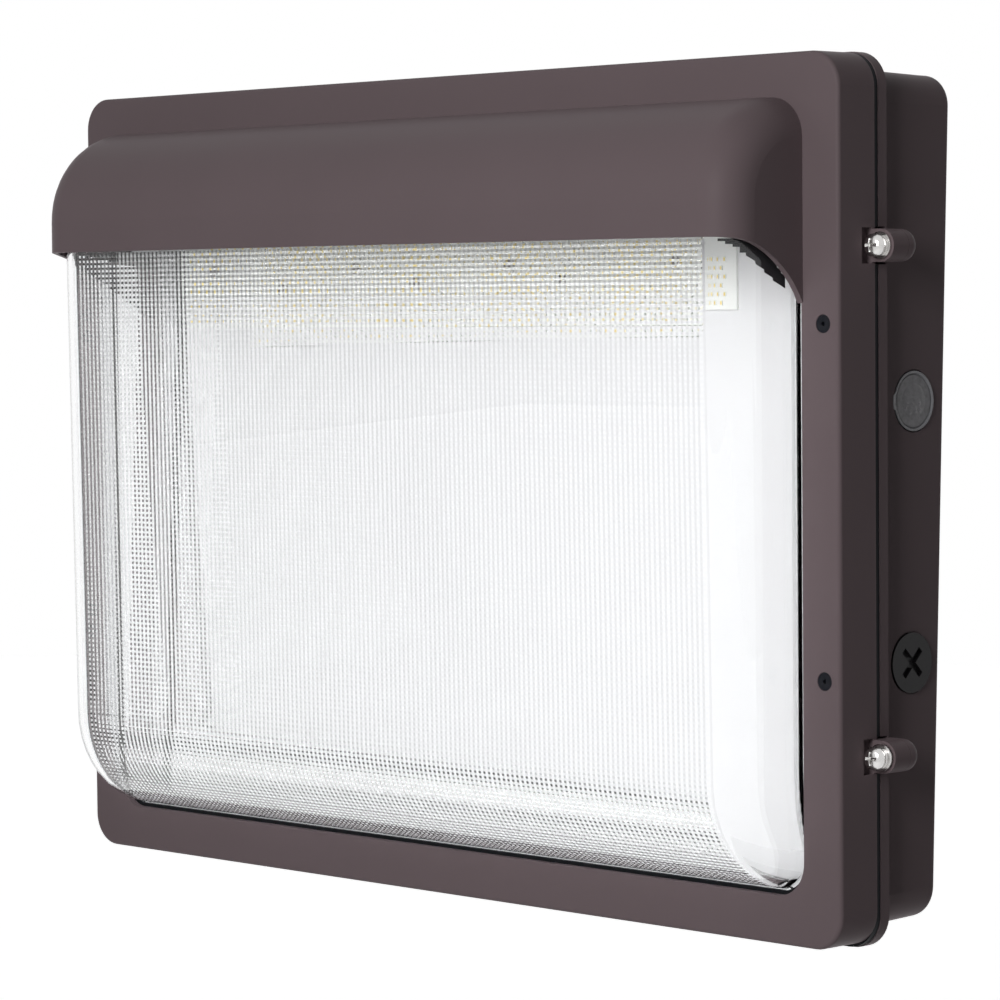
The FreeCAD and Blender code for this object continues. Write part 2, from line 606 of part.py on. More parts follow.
def star_washer(z):
    """The toothed washer that bites on the lower ear."""
    start = (EAR_X, EAR_FRONT - WASHER_THICK, z)
    thick = WASHER_THICK - FIT
    disc = ring(start, AXIS_Y, WASHER_R, WASHER_HOLE_R, thick)
    for number in range(STAR_TEETH):
        gap = block((EAR_X + WASHER_R - STAR_GAP_DEEP, start[1] - 1, z - STAR_GAP_WIDE / 2),
                    (EAR_X + WASHER_R + 1, start[1] + 3, z + STAR_GAP_WIDE / 2))
        gap.rotate(V(*start), AXIS_Y, 360.0 * number / STAR_TEETH)
        disc = disc.cut(gap)
    return disc


def behind_wall(thickness):
    """Everything that the wall frame's back plane cuts off, less a wall's thickness."""
    return block((-300, -thickness, -300), (300, 100, 300))


def rear_housing():
    """The cast box that hangs on the wall."""
    box = tapered_plate(BOX_HALF_WIDTH, BOX_LOW, BOX_HIGH, BOX_CORNER, FLANGE_FRONT,
                        FLANGE_FRONT + BOX_RUN, BOX_DRAFT)
    box = lean(box).cut(behind_wall(0))
    rim = [e for e in box.Edges if all(abs(v.Y) < 1e-6 for v in e.Vertexes)]
    box = box.makeFillet(BOX_BACK_ROUND, rim)
    flange = plate(FLANGE_HALF_WIDTH, FLANGE_LOW, FLANGE_HIGH, BOX_CORNER, FLANGE_FRONT,
                   FLANGE_BACK)
    outside = [flange]
    for z in (EAR_Z, -EAR_Z):
        boss = slot_outline(BOX_HALF_WIDTH - 1, EAR_X, BOSS_R, BOSS_FRONT - 0.6, BOSS_BACK, z)
        nose = [e for e in boss.Edges if all(abs(v.Y - BOSS_BACK) < 1e-6 for v in e.Vertexes)
                and min(v.X for v in e.Vertexes) > BOX_HALF_WIDTH]
        outside.append(boss.makeFillet(BOSS_NOSE, nose))
    for z in (HINGE_Z, -HINGE_Z):
        outside.append(box_hinge_knuckle(z + BOX_KNUCKLE_NEAR, z + BOX_KNUCKLE_FAR))
        outside.append(box_hinge_knuckle(z - BOX_KNUCKLE_FAR, z - BOX_KNUCKLE_NEAR))
    notches = []
    for z in (EAR_Z, -EAR_Z):
        notches.append(block((EAR_ROOT_X - 0.4, FLANGE_FRONT - 1, z - EAR_R - 0.8),
                             (FLANGE_HALF_WIDTH + 20, BOSS_FRONT, z + EAR_R + 0.8)))
        notches.append(rod((EAR_X, FLANGE_FRONT, z), AXIS_Y, BOSS_HOLE_R,
                           BOSS_HOLE_END - FLANGE_FRONT))
    hollow = tapered_plate(BOX_HALF_WIDTH - BOX_WALL, BOX_LOW + BOX_WALL, BOX_HIGH - BOX_WALL,
                           BOX_CORNER - BOX_WALL, FLANGE_FRONT - 1, FLANGE_FRONT + BOX_RUN,
                           BOX_DRAFT)
    housing = join([box] + [lean(shape) for shape in outside])
    housing = housing.cut(lean(hollow).cut(behind_wall(BOX_WALL)))
    housing = join([housing] + wall_pads())
    for cutter in [lean(shape) for shape in notches + side_holes()] + wall_holes():
        housing = housing.cut(cutter)
    return housing


def side_holes():
    """The holes for the photocell and the conduit plugs."""
    places = [(photocell_place(), AXIS_X, PHOTOCELL_BODY_R + 0.2, PHOTOCELL_RIM_R)]
    places += [(start, direction, PLUG_HOLE_R, PLUG_R) for start, direction in plug_places()]
    holes = []
    for start, direction, hole_r, rim_r in places:
        inner = tuple(start - direction * (BOX_WALL + 1))
        holes.append(rod(inner, direction, hole_r, 2 * BOX_WALL))
        holes.append(rod(tuple(start), direction, rim_r + SPOT_FACE, BOX_WALL))
    return holes


def photocell_place():
    """Centre of the photocell's seat on the outer wall."""
    return V(PHOTOCELL_SEAT_X, PHOTOCELL_Y, PHOTOCELL_Z)


def plug_places():
    """Where each conduit plug meets the outer wall, and which way it faces."""
    return [(V(SIDE_SEAT_X, PLUG_Y, PLUG_Z), AXIS_X),
            (V(-SIDE_SEAT_X, PLUG_Y, PLUG_Z), V(-1, 0, 0)),
            (V(0, PLUG_Y, UNDER_SEAT_Z), V(0, 0, -1))]


def wall_pads():
    """Raised pads on the inside of the back wall."""
    pads = [rod((sx * WALL_HOLE_X, -BOX_WALL - WALL_PAD_TALL, sz * WALL_HOLE_Z), AXIS_Y,
                WALL_PAD_R, WALL_PAD_TALL + 1) for sx in (-1, 1) for sz in (-1, 1)]
    pads += [rod((sx * driver_screw_x(), -BOX_WALL - DRIVER_PAD, (DRIVER_LOW + DRIVER_HIGH) / 2),
                 AXIS_Y, SCREW_PAD_R, DRIVER_PAD + 1) for sx in (-1, 1)]
    pads.append(rod((EARTH_X, -BOX_WALL - EARTH_PAD_TALL, EARTH_Z), AXIS_Y, SCREW_PAD_R,
                    EARTH_PAD_TALL + 1))
    return pads


def wall_holes():
    """Fixing holes, junction-box holes, the wire entry and the inner screw holes."""
    holes = [rod((sx * WALL_HOLE_X, -10, sz * WALL_HOLE_Z), AXIS_Y, WALL_HOLE_R, 12)
             for sx in (-1, 1) for sz in (-1, 1)]
    holes += [rod((sx * BOX_SCREW_X, -10, 0), AXIS_Y, BOX_SCREW_R, 12) for sx in (-1, 1)]
    holes.append(rod((0, -10, ENTRY_Z), AXIS_Y, ENTRY_R, 12))
    holes += [rod((sx * driver_screw_x(), -BOX_WALL - 4, (DRIVER_LOW + DRIVER_HIGH) / 2), AXIS_Y,
                  PILOT_HOLE_R, 6) for sx in (-1, 1)]
    holes.append(rod((EARTH_X, -BOX_WALL - 5, EARTH_Z), AXIS_Y, PILOT_HOLE_R, 6.5))
    return holes


def housing_gasket():
    """The black seal between the door and the housing, notched round the ears."""
    seal = plate(FLANGE_HALF_WIDTH - SEAL_INSET, FLANGE_LOW + SEAL_INSET,
                 FLANGE_HIGH - SEAL_INSET, BOX_CORNER - SEAL_INSET, SEAL_FRONT, FLANGE_FRONT - FIT)
    wall = BOX_WALL - SEAL_LIP
    seal = seal.cut(plate(BOX_HALF_WIDTH - wall, BOX_LOW + wall, BOX_HIGH - wall,
                          BOX_CORNER - wall, SEAL_FRONT - 1, FLANGE_FRONT + 1))
    for z in (EAR_Z, -EAR_Z):
        seal = seal.cut(block((EAR_ROOT_X - 0.4, SEAL_FRONT - 1, z - EAR_R - 0.8),
                              (FLANGE_HALF_WIDTH + 5, FLANGE_FRONT + 1, z + EAR_R + 0.8)))
    return seal


def hinge_pins():
    """Two headed pins that the door turns on."""
    pins = []
    for z in (HINGE_Z, -HINGE_Z):
        low, high = z - BOX_KNUCKLE_FAR, z + BOX_KNUCKLE_FAR
        pins.append(join([rod((HINGE_X, HINGE_Y, low - 0.5), AXIS_Z, HINGE_PIN_R, high - low + 0.6),
                          rod((HINGE_X, HINGE_Y, high), AXIS_Z, HINGE_HEAD_R, HINGE_HEAD_LONG)]))
    return Part.makeCompound(pins)


def conduit_plugs():
    """Threaded plugs with a raised rim and a diagonal cross recess."""
    plugs = []
    for start, direction in plug_places():
        seat = start + direction * FIT
        face = seat + direction * PLUG_OUT
        disc = Part.makeCylinder(PLUG_R, PLUG_OUT, seat, direction)
        dimple = Part.makeCylinder(PLUG_R - PLUG_RIM, PLUG_DISH, face, direction * -1)
        thread = Part.makeCylinder(PLUG_THREAD_R, PLUG_THREAD_LONG, seat + direction,
                                   direction * -1)
        cross = cross_recess(face - direction * PLUG_DISH, direction * -1, CROSS_LONG, CROSS_WIDE,
                             CROSS_DEEP)
        cross.rotate(face, direction, 45)
        plugs.append(join([disc.cut(dimple), thread]).cut(cross))
    return Part.makeCompound(plugs)


def photocell():
    """The light sensor: a clear stepped button on a threaded body."""
    start = photocell_place() + AXIS_X * PHOTOCELL_SEAL
    rim = Part.makeCylinder(PHOTOCELL_RIM_R, PHOTOCELL_RIM_OUT, start, AXIS_X)
    outer_edge = [e for e in rim.Edges if e.Curve.TypeId == "Part::GeomCircle"
                  and abs(e.Curve.Center.x - start.x - PHOTOCELL_RIM_OUT) < 1e-6]
    rim = rim.makeFillet(PHOTOCELL_EDGE_ROUND, outer_edge)
    body = Part.makeCylinder(PHOTOCELL_BODY_R, PHOTOCELL_BODY_LONG, start + AXIS_X, AXIS_X * -1)
    return join([rim, body])


def photocell_seal():
    """The ring under the photocell's rim."""
    start = tuple(photocell_place() + AXIS_X * FIT)
    return ring(start, AXIS_X, PHOTOCELL_RIM_R - 0.4, PHOTOCELL_BODY_R + FIT,
                PHOTOCELL_SEAL - 2 * FIT)


def photocell_nut():
    """The hexagon nut inside the box."""
    start = V(SIDE_SEAT_X - BOX_WALL - NUT_GAP, PHOTOCELL_Y, PHOTOCELL_Z)
    corners = [start + V(0, PHOTOCELL_NUT_R * math.cos(math.radians(a)),
                         PHOTOCELL_NUT_R * math.sin(math.radians(a))) for a in range(0, 360, 60)]
    body = Part.Face(Part.makePolygon(corners + [corners[0]])).extrude(V(-PHOTOCELL_NUT_LONG, 0, 0))
    return body.cut(rod(tuple(start + AXIS_X), V(-1, 0, 0), PHOTOCELL_BODY_R + FIT,
                        PHOTOCELL_NUT_LONG + 2))


def wire_grommet():
    """The rubber bush in the back wall, with a groove round the hole's edge."""
    inner = -BOX_WALL - FIT
    parts = [rod((0, inner - GROMMET_LIP, ENTRY_Z), AXIS_Y, GROMMET_LIP_R, GROMMET_LIP),
             rod((0, inner - GROMMET_LIP, ENTRY_Z), AXIS_Y, GROMMET_R, -inner + GROMMET_LIP - 0.3)]
    bore = rod((0, -20, ENTRY_Z), AXIS_Y, GROMMET_BORE_R, 30)
    return join(parts).cut(bore)


def driver_screw_x():
    """The driver is held by a tab at each end."""
    return DRIVER_HALF_LENGTH + DRIVER_TAB / 2


def driver_case():
    """The folded-metal case of the driver, with its two tabs."""
    seat = -BOX_WALL - DRIVER_PAD - FIT
    case = block((-DRIVER_HALF_LENGTH, seat - DRIVER_DEEP, DRIVER_LOW),
                 (DRIVER_HALF_LENGTH, seat, DRIVER_HIGH))
    long_edges = [e for e in case.Edges if abs(e.Length - 2 * DRIVER_HALF_LENGTH) < 1e-6
                  and e.Vertexes[0].Y < seat - 1]
    case = case.makeFillet(DRIVER_FOLD, long_edges)
    reach = DRIVER_HALF_LENGTH + DRIVER_TAB
    tabs = block((-reach, seat - DRIVER_TAB_THICK, DRIVER_LOW + DRIVER_TAB_INSET),
                 (reach, seat, DRIVER_HIGH - DRIVER_TAB_INSET))
    case = join([case, tabs])
    for sx in (-1, 1):
        case = case.cut(rod((sx * driver_screw_x(), seat - 5, (DRIVER_LOW + DRIVER_HIGH) / 2),
                            AXIS_Y, DRIVER_TAB_HOLE_R, 10))
    return case


def driver_end_caps():
    """Plastic caps where the wires would leave the driver."""
    seat = -BOX_WALL - DRIVER_PAD - FIT
    caps = []
    for sx in (-1, 1):
        inner, outer = sx * (DRIVER_HALF_LENGTH + FIT), sx * (DRIVER_HALF_LENGTH + CAP_LONG)
        caps.append(block((min(inner, outer), seat - DRIVER_DEEP + CAP_FRONT, DRIVER_LOW + CAP_INSET),
                          (max(inner, outer), seat - CAP_BACK, DRIVER_HIGH - CAP_INSET)))
    return Part.makeCompound(caps)


def driver_screws():
    """The two screws through the driver's tabs."""
    seat = -BOX_WALL - DRIVER_PAD - FIT - DRIVER_TAB_THICK - FIT
    middle = (DRIVER_LOW + DRIVER_HIGH) / 2
    return Part.makeCompound([
        pan_screw((sx * driver_screw_x(), seat, middle), AXIS_Y, DRIVER_SCREW_HEAD_R,
                  DRIVER_SCREW_HEAD_LONG, DRIVER_SCREW_R, DRIVER_SCREW_LONG)
        for sx in (-1, 1)])


def terminal_block():
    """The mains terminal block, with a wire way and a screw well for each pole."""
    floor = -BOX_WALL - FIT
    low = (TERMINAL_X - TERMINAL_LONG / 2, floor - TERMINAL_DEEP, TERMINAL_Z - TERMINAL_TALL / 2)
    body = block(low, (low[0] + TERMINAL_LONG, floor, low[2] + TERMINAL_TALL))
    for x in terminal_poles():
        body = body.cut(rod((x, floor - TERMINAL_WAY_DEPTH, low[2] - 1), AXIS_Z, TERMINAL_WAY_R,
                            TERMINAL_TALL + 2))
        for dz in (-TERMINAL_WELL_Z, TERMINAL_WELL_Z):
            body = body.cut(rod((x, low[1] - 1, TERMINAL_Z + dz), AXIS_Y, TERMINAL_WELL_R,
                                1 + TERMINAL_WELL_DEEP))
    return body


def terminal_poles():
    """The X of each pole."""
    pitch = TERMINAL_LONG / TERMINAL_POLES
    return [TERMINAL_X + (number - (TERMINAL_POLES - 1) / 2) * pitch
            for number in range(TERMINAL_POLES)]


def terminal_screws():
    """Clamp screws in the terminal block's wells."""
    top = -BOX_WALL - FIT - TERMINAL_DEEP + TERMINAL_SCREW_SUNK
    return Part.makeCompound([rod((x, top, TERMINAL_Z + dz), AXIS_Y, TERMINAL_SCREW_R,
                                  TERMINAL_SCREW_LONG)
                              for x in terminal_poles() for dz in (-TERMINAL_WELL_Z, TERMINAL_WELL_Z)])


def earth_screw():
    """The green earth screw on its boss."""
    return pan_screw((EARTH_X, -BOX_WALL - EARTH_PAD_TALL - FIT, EARTH_Z), AXIS_Y, EARTH_HEAD_R,
                     EARTH_HEAD_LONG, EARTH_SCREW_R, EARTH_SCREW_LONG)


DOOR_FRAME_PARTS = {
    "front_door": front_door,
    "lens": lens,
    "lens_gasket": lens_gasket,
    "reflector_tray": reflector_tray,
    "led_board": led_board,
    "led_rows": led_rows,
    "face_screws": face_screws,
    "tray_screws": tray_screws,
    "board_screws": board_screws,
    "housing_gasket": housing_gasket,
    "hinge_pins": hinge_pins,
    "conduit_plugs": conduit_plugs,
    "photocell": photocell,
    "photocell_seal": photocell_seal,
    "photocell_nut": photocell_nut,
    "upper_captive_screw": lambda: captive_screw(EAR_Z),
    "upper_flat_washer": lambda: flat_washer(EAR_Z),
    "upper_spring_washer": lambda: spring_washer(EAR_Z),
    "lower_captive_screw": lambda: captive_screw(-EAR_Z),
    "lower_flat_washer": lambda: flat_washer(-EAR_Z),
    "lower_spring_washer": lambda: spring_washer(-EAR_Z),
    "lower_star_washer": lambda: star_washer(-EAR_Z),
}
WALL_FRAME_PARTS = {
    "rear_housing": rear_housing,
    "wire_grommet": wire_grommet,
    "driver_case": driver_case,
    "driver_end_caps": driver_end_caps,
    "driver_screws": driver_screws,
    "terminal_block": terminal_block,
    "terminal_screws": terminal_screws,
    "earth_screw": earth_screw,
}

os.makedirs("parts", exist_ok=True)
for node, make in DOOR_FRAME_PARTS.items():
    lean(make()).exportStep("parts/" + node + ".step")
for node, make in WALL_FRAME_PARTS.items():
    make().exportStep("parts/" + node + ".step")
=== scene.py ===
# %% [markdown]
# # A wall pack light
#
# This lesson dresses a wall pack light: a shallow bronze box for an outside wall, with a sloping
# hood over a big clear cover that is full of small prisms. The body's solids come from a packed
# CAD model. Blender adds what plain solids lack: the prisms, the LED chips, the paint, the
# light and the camera.
#
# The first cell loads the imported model. Everything is in metres, with Z up and the wall behind,
# at positive Y.

# %% Load the frame
import math

import bpy
import numpy as np
from mathutils import Matrix, Vector


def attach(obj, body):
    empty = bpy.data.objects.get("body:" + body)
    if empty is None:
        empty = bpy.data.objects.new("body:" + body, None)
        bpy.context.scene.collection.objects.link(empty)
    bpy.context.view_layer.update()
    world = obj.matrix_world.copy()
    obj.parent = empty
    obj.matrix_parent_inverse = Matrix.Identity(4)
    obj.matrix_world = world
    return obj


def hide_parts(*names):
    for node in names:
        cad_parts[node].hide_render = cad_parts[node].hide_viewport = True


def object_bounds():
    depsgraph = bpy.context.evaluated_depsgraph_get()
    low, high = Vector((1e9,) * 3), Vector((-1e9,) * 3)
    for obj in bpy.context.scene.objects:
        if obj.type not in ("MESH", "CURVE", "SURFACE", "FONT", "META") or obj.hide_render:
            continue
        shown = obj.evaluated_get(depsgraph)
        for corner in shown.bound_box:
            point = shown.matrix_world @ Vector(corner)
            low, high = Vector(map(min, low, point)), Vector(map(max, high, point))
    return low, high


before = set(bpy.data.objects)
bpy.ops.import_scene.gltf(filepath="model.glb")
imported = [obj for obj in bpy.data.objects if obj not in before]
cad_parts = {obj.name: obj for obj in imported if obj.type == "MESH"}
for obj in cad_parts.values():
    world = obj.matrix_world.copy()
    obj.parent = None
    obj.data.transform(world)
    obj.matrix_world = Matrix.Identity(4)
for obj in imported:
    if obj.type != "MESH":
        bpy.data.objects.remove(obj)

cad_box = [list(corner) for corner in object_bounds()]
print("nodes in the frame:", len(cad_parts))

# %% [markdown]
# The door of this light leans forward by two degrees, so that its lamp points a little down.
# It is easier to think square to the door: millimetres, with Y = 0 on the door's face and Y
# growing towards the wall. One function carries such points into the scene. It only shifts
# and turns them, so nothing is scaled but the unit.

# %% From the door's own millimetres to the scene
LEAN = math.radians(2.0)
DOOR_TO_WALL = 61.0
MM = 0.001


def lean(points):
    """Points (..., 3) in the door's millimetres -> metres in the scene.

    Formula: y' = y - 61, then a turn by 2 degrees about the X axis.
    """
    x, y, z = np.moveaxis(np.asarray(points, dtype=float), -1, 0)
    y = y - DOOR_TO_WALL
    c, s = math.cos(LEAN), math.sin(LEAN)
    return np.stack([x, y * c - z * s, y * s + z * c], axis=-1) * MM


# %% [markdown]
# ## Camera
# The photograph was taken from the right, level with the light, with a long lens: far edges are
# hardly smaller than near ones. The camera is placed by three angles that were measured square
# to the door, and then it leans with the door.

# %% The camera
CAMERA_YAW, CAMERA_PITCH, CAMERA_ROLL = 46.047, 2.908, 0.495
CAMERA_AT = (1049.52, -975.12, 67.69)
FOCAL_MM, SENSOR_MM, CLIP_START = 140.4, 36.0, 0.01


def camera_axes(yaw, pitch, roll):
    """The camera's right, down and forward directions, from three angles in degrees.

    Formula: forward = (-sin yaw cos pitch, cos yaw cos pitch, -sin pitch); right is level;
    down = forward x right; then both turn by roll about forward.
    """
    yaw, pitch, roll = np.radians([yaw, pitch, roll])
    forward = np.array([-np.sin(yaw) * np.cos(pitch), np.cos(yaw) * np.cos(pitch), -np.sin(pitch)])
    right = np.array([np.cos(yaw), np.sin(yaw), 0.0])
    down = np.cross(forward, right)
    turned_right = np.cos(roll) * right + np.sin(roll) * down
    turned_down = -np.sin(roll) * right + np.cos(roll) * down
    return turned_right, turned_down, forward


right, down, forward = camera_axes(CAMERA_YAW, CAMERA_PITCH, CAMERA_ROLL)
lens_settings = bpy.data.cameras.new("camera")
lens_settings.sensor_width = SENSOR_MM
lens_settings.lens = FOCAL_MM
lens_settings.clip_start = CLIP_START
camera = bpy.data.objects.new("camera", lens_settings)
bpy.context.scene.collection.objects.link(camera)
axes = np.stack([right, -down, -forward], axis=1)
tilt = np.array(Matrix.Rotation(LEAN, 3, "X"))
pose = np.eye(4)
pose[:3, :3] = tilt @ axes
pose[:3, 3] = lean(CAMERA_AT)
camera.matrix_world = Matrix(pose.tolist())
bpy.context.scene.camera = camera
print("camera at", [round(v, 3) for v in camera.matrix_world.translation])

# %% [markdown]
# ## Light
# A soft studio: a key lamp in front, a little to the right, a wide and weak one on the left, one
# above, and a faint even fill from the world. Lamps could do without the fill, but then the
# shaded sides would go black.
#
# Rays from the camera, and mirrored or refracted rays, meet plain white, so that the picture's
# ground, metal and glass show white. The floor is pale and far enough below to keep its shadow
# out of this view.

# %% The studio
WORLD_FILL = 0.03
LAMP_AIM = (0.0, -0.08, 0.0)


def white_for_sight(nodes, links):
    """A 0 or 1 output: 1 for rays from the camera, and for mirrored and refracted rays."""
    path = nodes.new("ShaderNodeLightPath")
    first = nodes.new("ShaderNodeMath")
    first.operation = "MAXIMUM"
    links.new(path.outputs["Is Camera Ray"], first.inputs[0])
    links.new(path.outputs["Is Glossy Ray"], first.inputs[1])
    second = nodes.new("ShaderNodeMath")
    second.operation = "MAXIMUM"
    links.new(first.outputs[0], second.inputs[0])
    links.new(path.outputs["Is Transmission Ray"], second.inputs[1])
    return second.outputs[0]


world = bpy.data.worlds.new("studio")
bpy.context.scene.world = world
world.use_nodes = True
nodes, links = world.node_tree.nodes, world.node_tree.links
background = nodes["Background"]
background.inputs["Color"].default_value = (1.0, 1.0, 1.0, 1.0)
strength = nodes.new("ShaderNodeMapRange")
strength.inputs["To Min"].default_value = WORLD_FILL
strength.inputs["To Max"].default_value = 1.0
links.new(white_for_sight(nodes, links), strength.inputs["Value"])
links.new(strength.outputs[0], background.inputs["Strength"])


def softbox(name, place, aim, size, watts):
    """A square area lamp at place, pointing at aim."""
    lamp = bpy.data.lights.new(name, "AREA")
    lamp.size = size
    lamp.energy = watts
    item = bpy.data.objects.new(name, lamp)
    item.location = place
    item.rotation_euler = (Vector(aim) - Vector(place)).to_track_quat("-Z", "Y").to_euler()
    bpy.context.scene.collection.objects.link(item)


softbox("key_lamp", (0.42, -1.1, 0.32), LAMP_AIM, 0.45, 6.4)
softbox("left_lamp", (-1.15, -1.6, 0.45), LAMP_AIM, 1.0, 1.5)
softbox("top_lamp", (-0.55, -0.65, 1.5), (0.1, -0.08, 0.1), 0.5, 0.2)
bpy.context.scene.view_settings.view_transform = "Standard"

# %% [markdown]
# ## Meshes from formulas
# Each new piece is a surface worked out as whole arrays. This helper puts the vertices and
# faces of such a surface into a mesh, smooth or flat face by face.

# %% A mesh from arrays
def make_piece(name, points, faces, smooth=True):
    """A mesh object at the origin from vertices (n, 3) in metres and lists of faces."""
    mesh = bpy.data.meshes.new(name)
    mesh.from_pydata(np.asarray(points).reshape(-1, 3).tolist(), [], faces)
    flags = np.broadcast_to(np.asarray(smooth, dtype=bool), (len(mesh.polygons),))
    mesh.polygons.foreach_set("use_smooth", flags.tolist())
    mesh.update()
    piece = bpy.data.objects.new(name, mesh)
    bpy.context.scene.collection.objects.link(piece)
    print(name, len(mesh.vertices), "vertices", len(mesh.polygons), "faces")
    return piece


def grid_faces(index):
    """Quads between neighbours of a 2-D array of vertex numbers."""
    a, b = index[:-1, :-1], index[1:, :-1]
    c, d = index[1:, 1:], index[:-1, 1:]
    return np.stack([a, b, c, d], axis=-1).reshape(-1, 4)


# %% [markdown]
# ## Finishes
# Every finish is one Principled shader with two layers of noise: a broad one that shifts the
# colour and the roughness a little, as real paint and plastic do, and a fine one that lifts the
# surface by some hundredths of a millimetre. A photograph of paint could do this too, but it
# would need its own unwrapped sheet for each piece. Both noises read Object coordinates, so the
# grain has a real size and stays put on the piece.

# %% A painted or moulded finish
ROUGH_SPREAD, GRAIN_STRENGTH = 0.04, 0.6
BROAD_DETAIL, FINE_DETAIL = 3.0, 2.0


def finish(name, colour, rough, drift=0.08, patch=0.05, grain=0.0008, relief=0.00002,
           metallic=0.0, specular=0.5):
    """A material: colour drifts by the share `drift` over patches, with a fine raised grain."""
    material = bpy.data.materials.new(name)
    material.use_nodes = True
    nodes, links = material.node_tree.nodes, material.node_tree.links
    shader = nodes["Principled BSDF"]
    shader.inputs["Metallic"].default_value = metallic
    shader.inputs["Specular IOR Level"].default_value = specular
    place = nodes.new("ShaderNodeTexCoord")
    broad = nodes.new("ShaderNodeTexNoise")
    broad.inputs["Scale"].default_value = 1.0 / patch
    broad.inputs["Detail"].default_value = BROAD_DETAIL
    links.new(place.outputs["Object"], broad.inputs["Vector"])
    shade = nodes.new("ShaderNodeMix")
    shade.data_type = "RGBA"
    shade.inputs["A"].default_value = (*[c * (1 - drift) for c in colour], 1.0)
    shade.inputs["B"].default_value = (*[min(1.0, c * (1 + drift)) for c in colour], 1.0)
    links.new(broad.outputs["Fac"], shade.inputs["Factor"])
    links.new(shade.outputs["Result"], shader.inputs["Base Color"])
    spread = nodes.new("ShaderNodeMapRange")
    spread.inputs["To Min"].default_value = max(0.0, rough - ROUGH_SPREAD)
    spread.inputs["To Max"].default_value = rough + ROUGH_SPREAD
    links.new(broad.outputs["Fac"], spread.inputs["Value"])
    links.new(spread.outputs[0], shader.inputs["Roughness"])
    fine = nodes.new("ShaderNodeTexNoise")
    fine.inputs["Scale"].default_value = 1.0 / grain
    fine.inputs["Detail"].default_value = FINE_DETAIL
    links.new(place.outputs["Object"], fine.inputs["Vector"])
    bump = nodes.new("ShaderNodeBump")
    bump.inputs["Strength"].default_value = GRAIN_STRENGTH
    bump.inputs["Distance"].default_value = relief
    links.new(fine.outputs["Fac"], bump.inputs["Height"])
    links.new(bump.outputs["Normal"], shader.inputs["Normal"])
    return material


# %% [markdown]
# The clear cover is acrylic. A glass shader alone would throw a hard, noisy shadow on the white
# tray behind it, so shadow rays pass straight through instead, as through a thin clear wall,
# and the tray is lit cleanly. Every other ray is bent by the plastic.

# %% A clear plastic
PLASTIC_IOR = 1.49
SHADOW_TINT = (0.90, 0.90, 0.905, 1.0)


def clear_plastic(name, tint, rough=0.0):
    """A glass material whose shadow rays pass straight through, dimmed a little."""
    material = finish(name, tint, rough, drift=0.01, relief=0.0)
    nodes, links = material.node_tree.nodes, material.node_tree.links
    shader = nodes["Principled BSDF"]
    shader.inputs["Transmission Weight"].default_value = 1.0
    shader.inputs["IOR"].default_value = PLASTIC_IOR
    for link in list(shader.inputs["Roughness"].links):
        links.remove(link)
    shader.inputs["Roughness"].default_value = rough
    path = nodes.new("ShaderNodeLightPath")
    through = nodes.new("ShaderNodeBsdfTransparent")
    through.inputs["Color"].default_value = SHADOW_TINT
    mix = nodes.new("ShaderNodeMixShader")
    links.new(path.outputs["Is Shadow Ray"], mix.inputs["Fac"])
    links.new(shader.outputs[0], mix.inputs[1])
    links.new(through.outputs[0], mix.inputs[2])
    links.new(mix.outputs[0], nodes["Material Output"].inputs["Surface"])
    return material


# %% [markdown]
# The colours are read from the photograph: a dark bronze powder coat that is a little
# purple, black-blue rubber, stainless steel, and whites for what is inside.

# %% The finishes of this light
bronze_coat = finish("bronze_coat", (0.185, 0.143, 0.152), 0.45, drift=0.05,
                     grain=0.0005, relief=0.00001, specular=0.06)
seal_rubber = finish("seal_rubber", (0.006, 0.007, 0.009), 0.6, grain=0.0006, specular=0.15)
white_tray = finish("white_tray", (0.74, 0.74, 0.745), 0.35, drift=0.01)
board_white = finish("board_white", (0.88, 0.89, 0.86), 0.4, drift=0.02)
led_yellow = finish("led_yellow", (0.90, 0.72, 0.22), 0.4, drift=0.1, patch=0.004)
black_screw = finish("black_screw", (0.010, 0.011, 0.016), 0.45, grain=0.0003,
                     specular=0.15)
steel = finish("steel", (0.62, 0.61, 0.60), 0.2, drift=0.06, patch=0.004, metallic=1.0,
               grain=0.0004, relief=0.00001)
dark_steel = finish("dark_steel", (0.30, 0.29, 0.28), 0.3, drift=0.1, patch=0.003,
                    metallic=1.0, grain=0.0004)
driver_metal = finish("driver_metal", (0.72, 0.72, 0.70), 0.4, drift=0.05)
driver_plastic = finish("driver_plastic", (0.10, 0.10, 0.10), 0.5)
terminal_plastic = finish("terminal_plastic", (0.75, 0.74, 0.68), 0.45)
terminal_brass = finish("terminal_brass", (0.70, 0.52, 0.22), 0.3, metallic=1.0)
earth_green = finish("earth_green", (0.05, 0.28, 0.09), 0.35)
plug_plastic = finish("plug_plastic", (0.010, 0.009, 0.010), 0.4, grain=0.0004,
                      specular=0.2)
bush_rubber = finish("bush_rubber", (0.015, 0.015, 0.016), 0.7)
cell_clear = finish("cell_clear", (0.20, 0.195, 0.21), 0.22, drift=0.5, patch=0.0022,
                    specular=0.4)
cell_rim = finish("cell_rim", (0.24, 0.24, 0.26), 0.25, drift=0.15, patch=0.004)
clear_cover = clear_plastic("clear_cover", (0.975, 0.98, 0.985))
# A grey tinted plastic that paints the shade of the line beside the prism field.
cover_painted_line_shade = clear_plastic("cover_painted_line_shade", (0.42, 0.44, 0.46), rough=0.25)
# A black finish that paints the shade of the hood's dark inside, seen through the cover's ends.
cover_painted_shade = finish("cover_painted_shade", (0.010, 0.010, 0.012), 0.5, specular=0.2)

# %% [markdown]
# Each CAD node is one piece of the real light, and wears one finish. A table from the node's
# name to its finish is easier to check than thirty assignments.

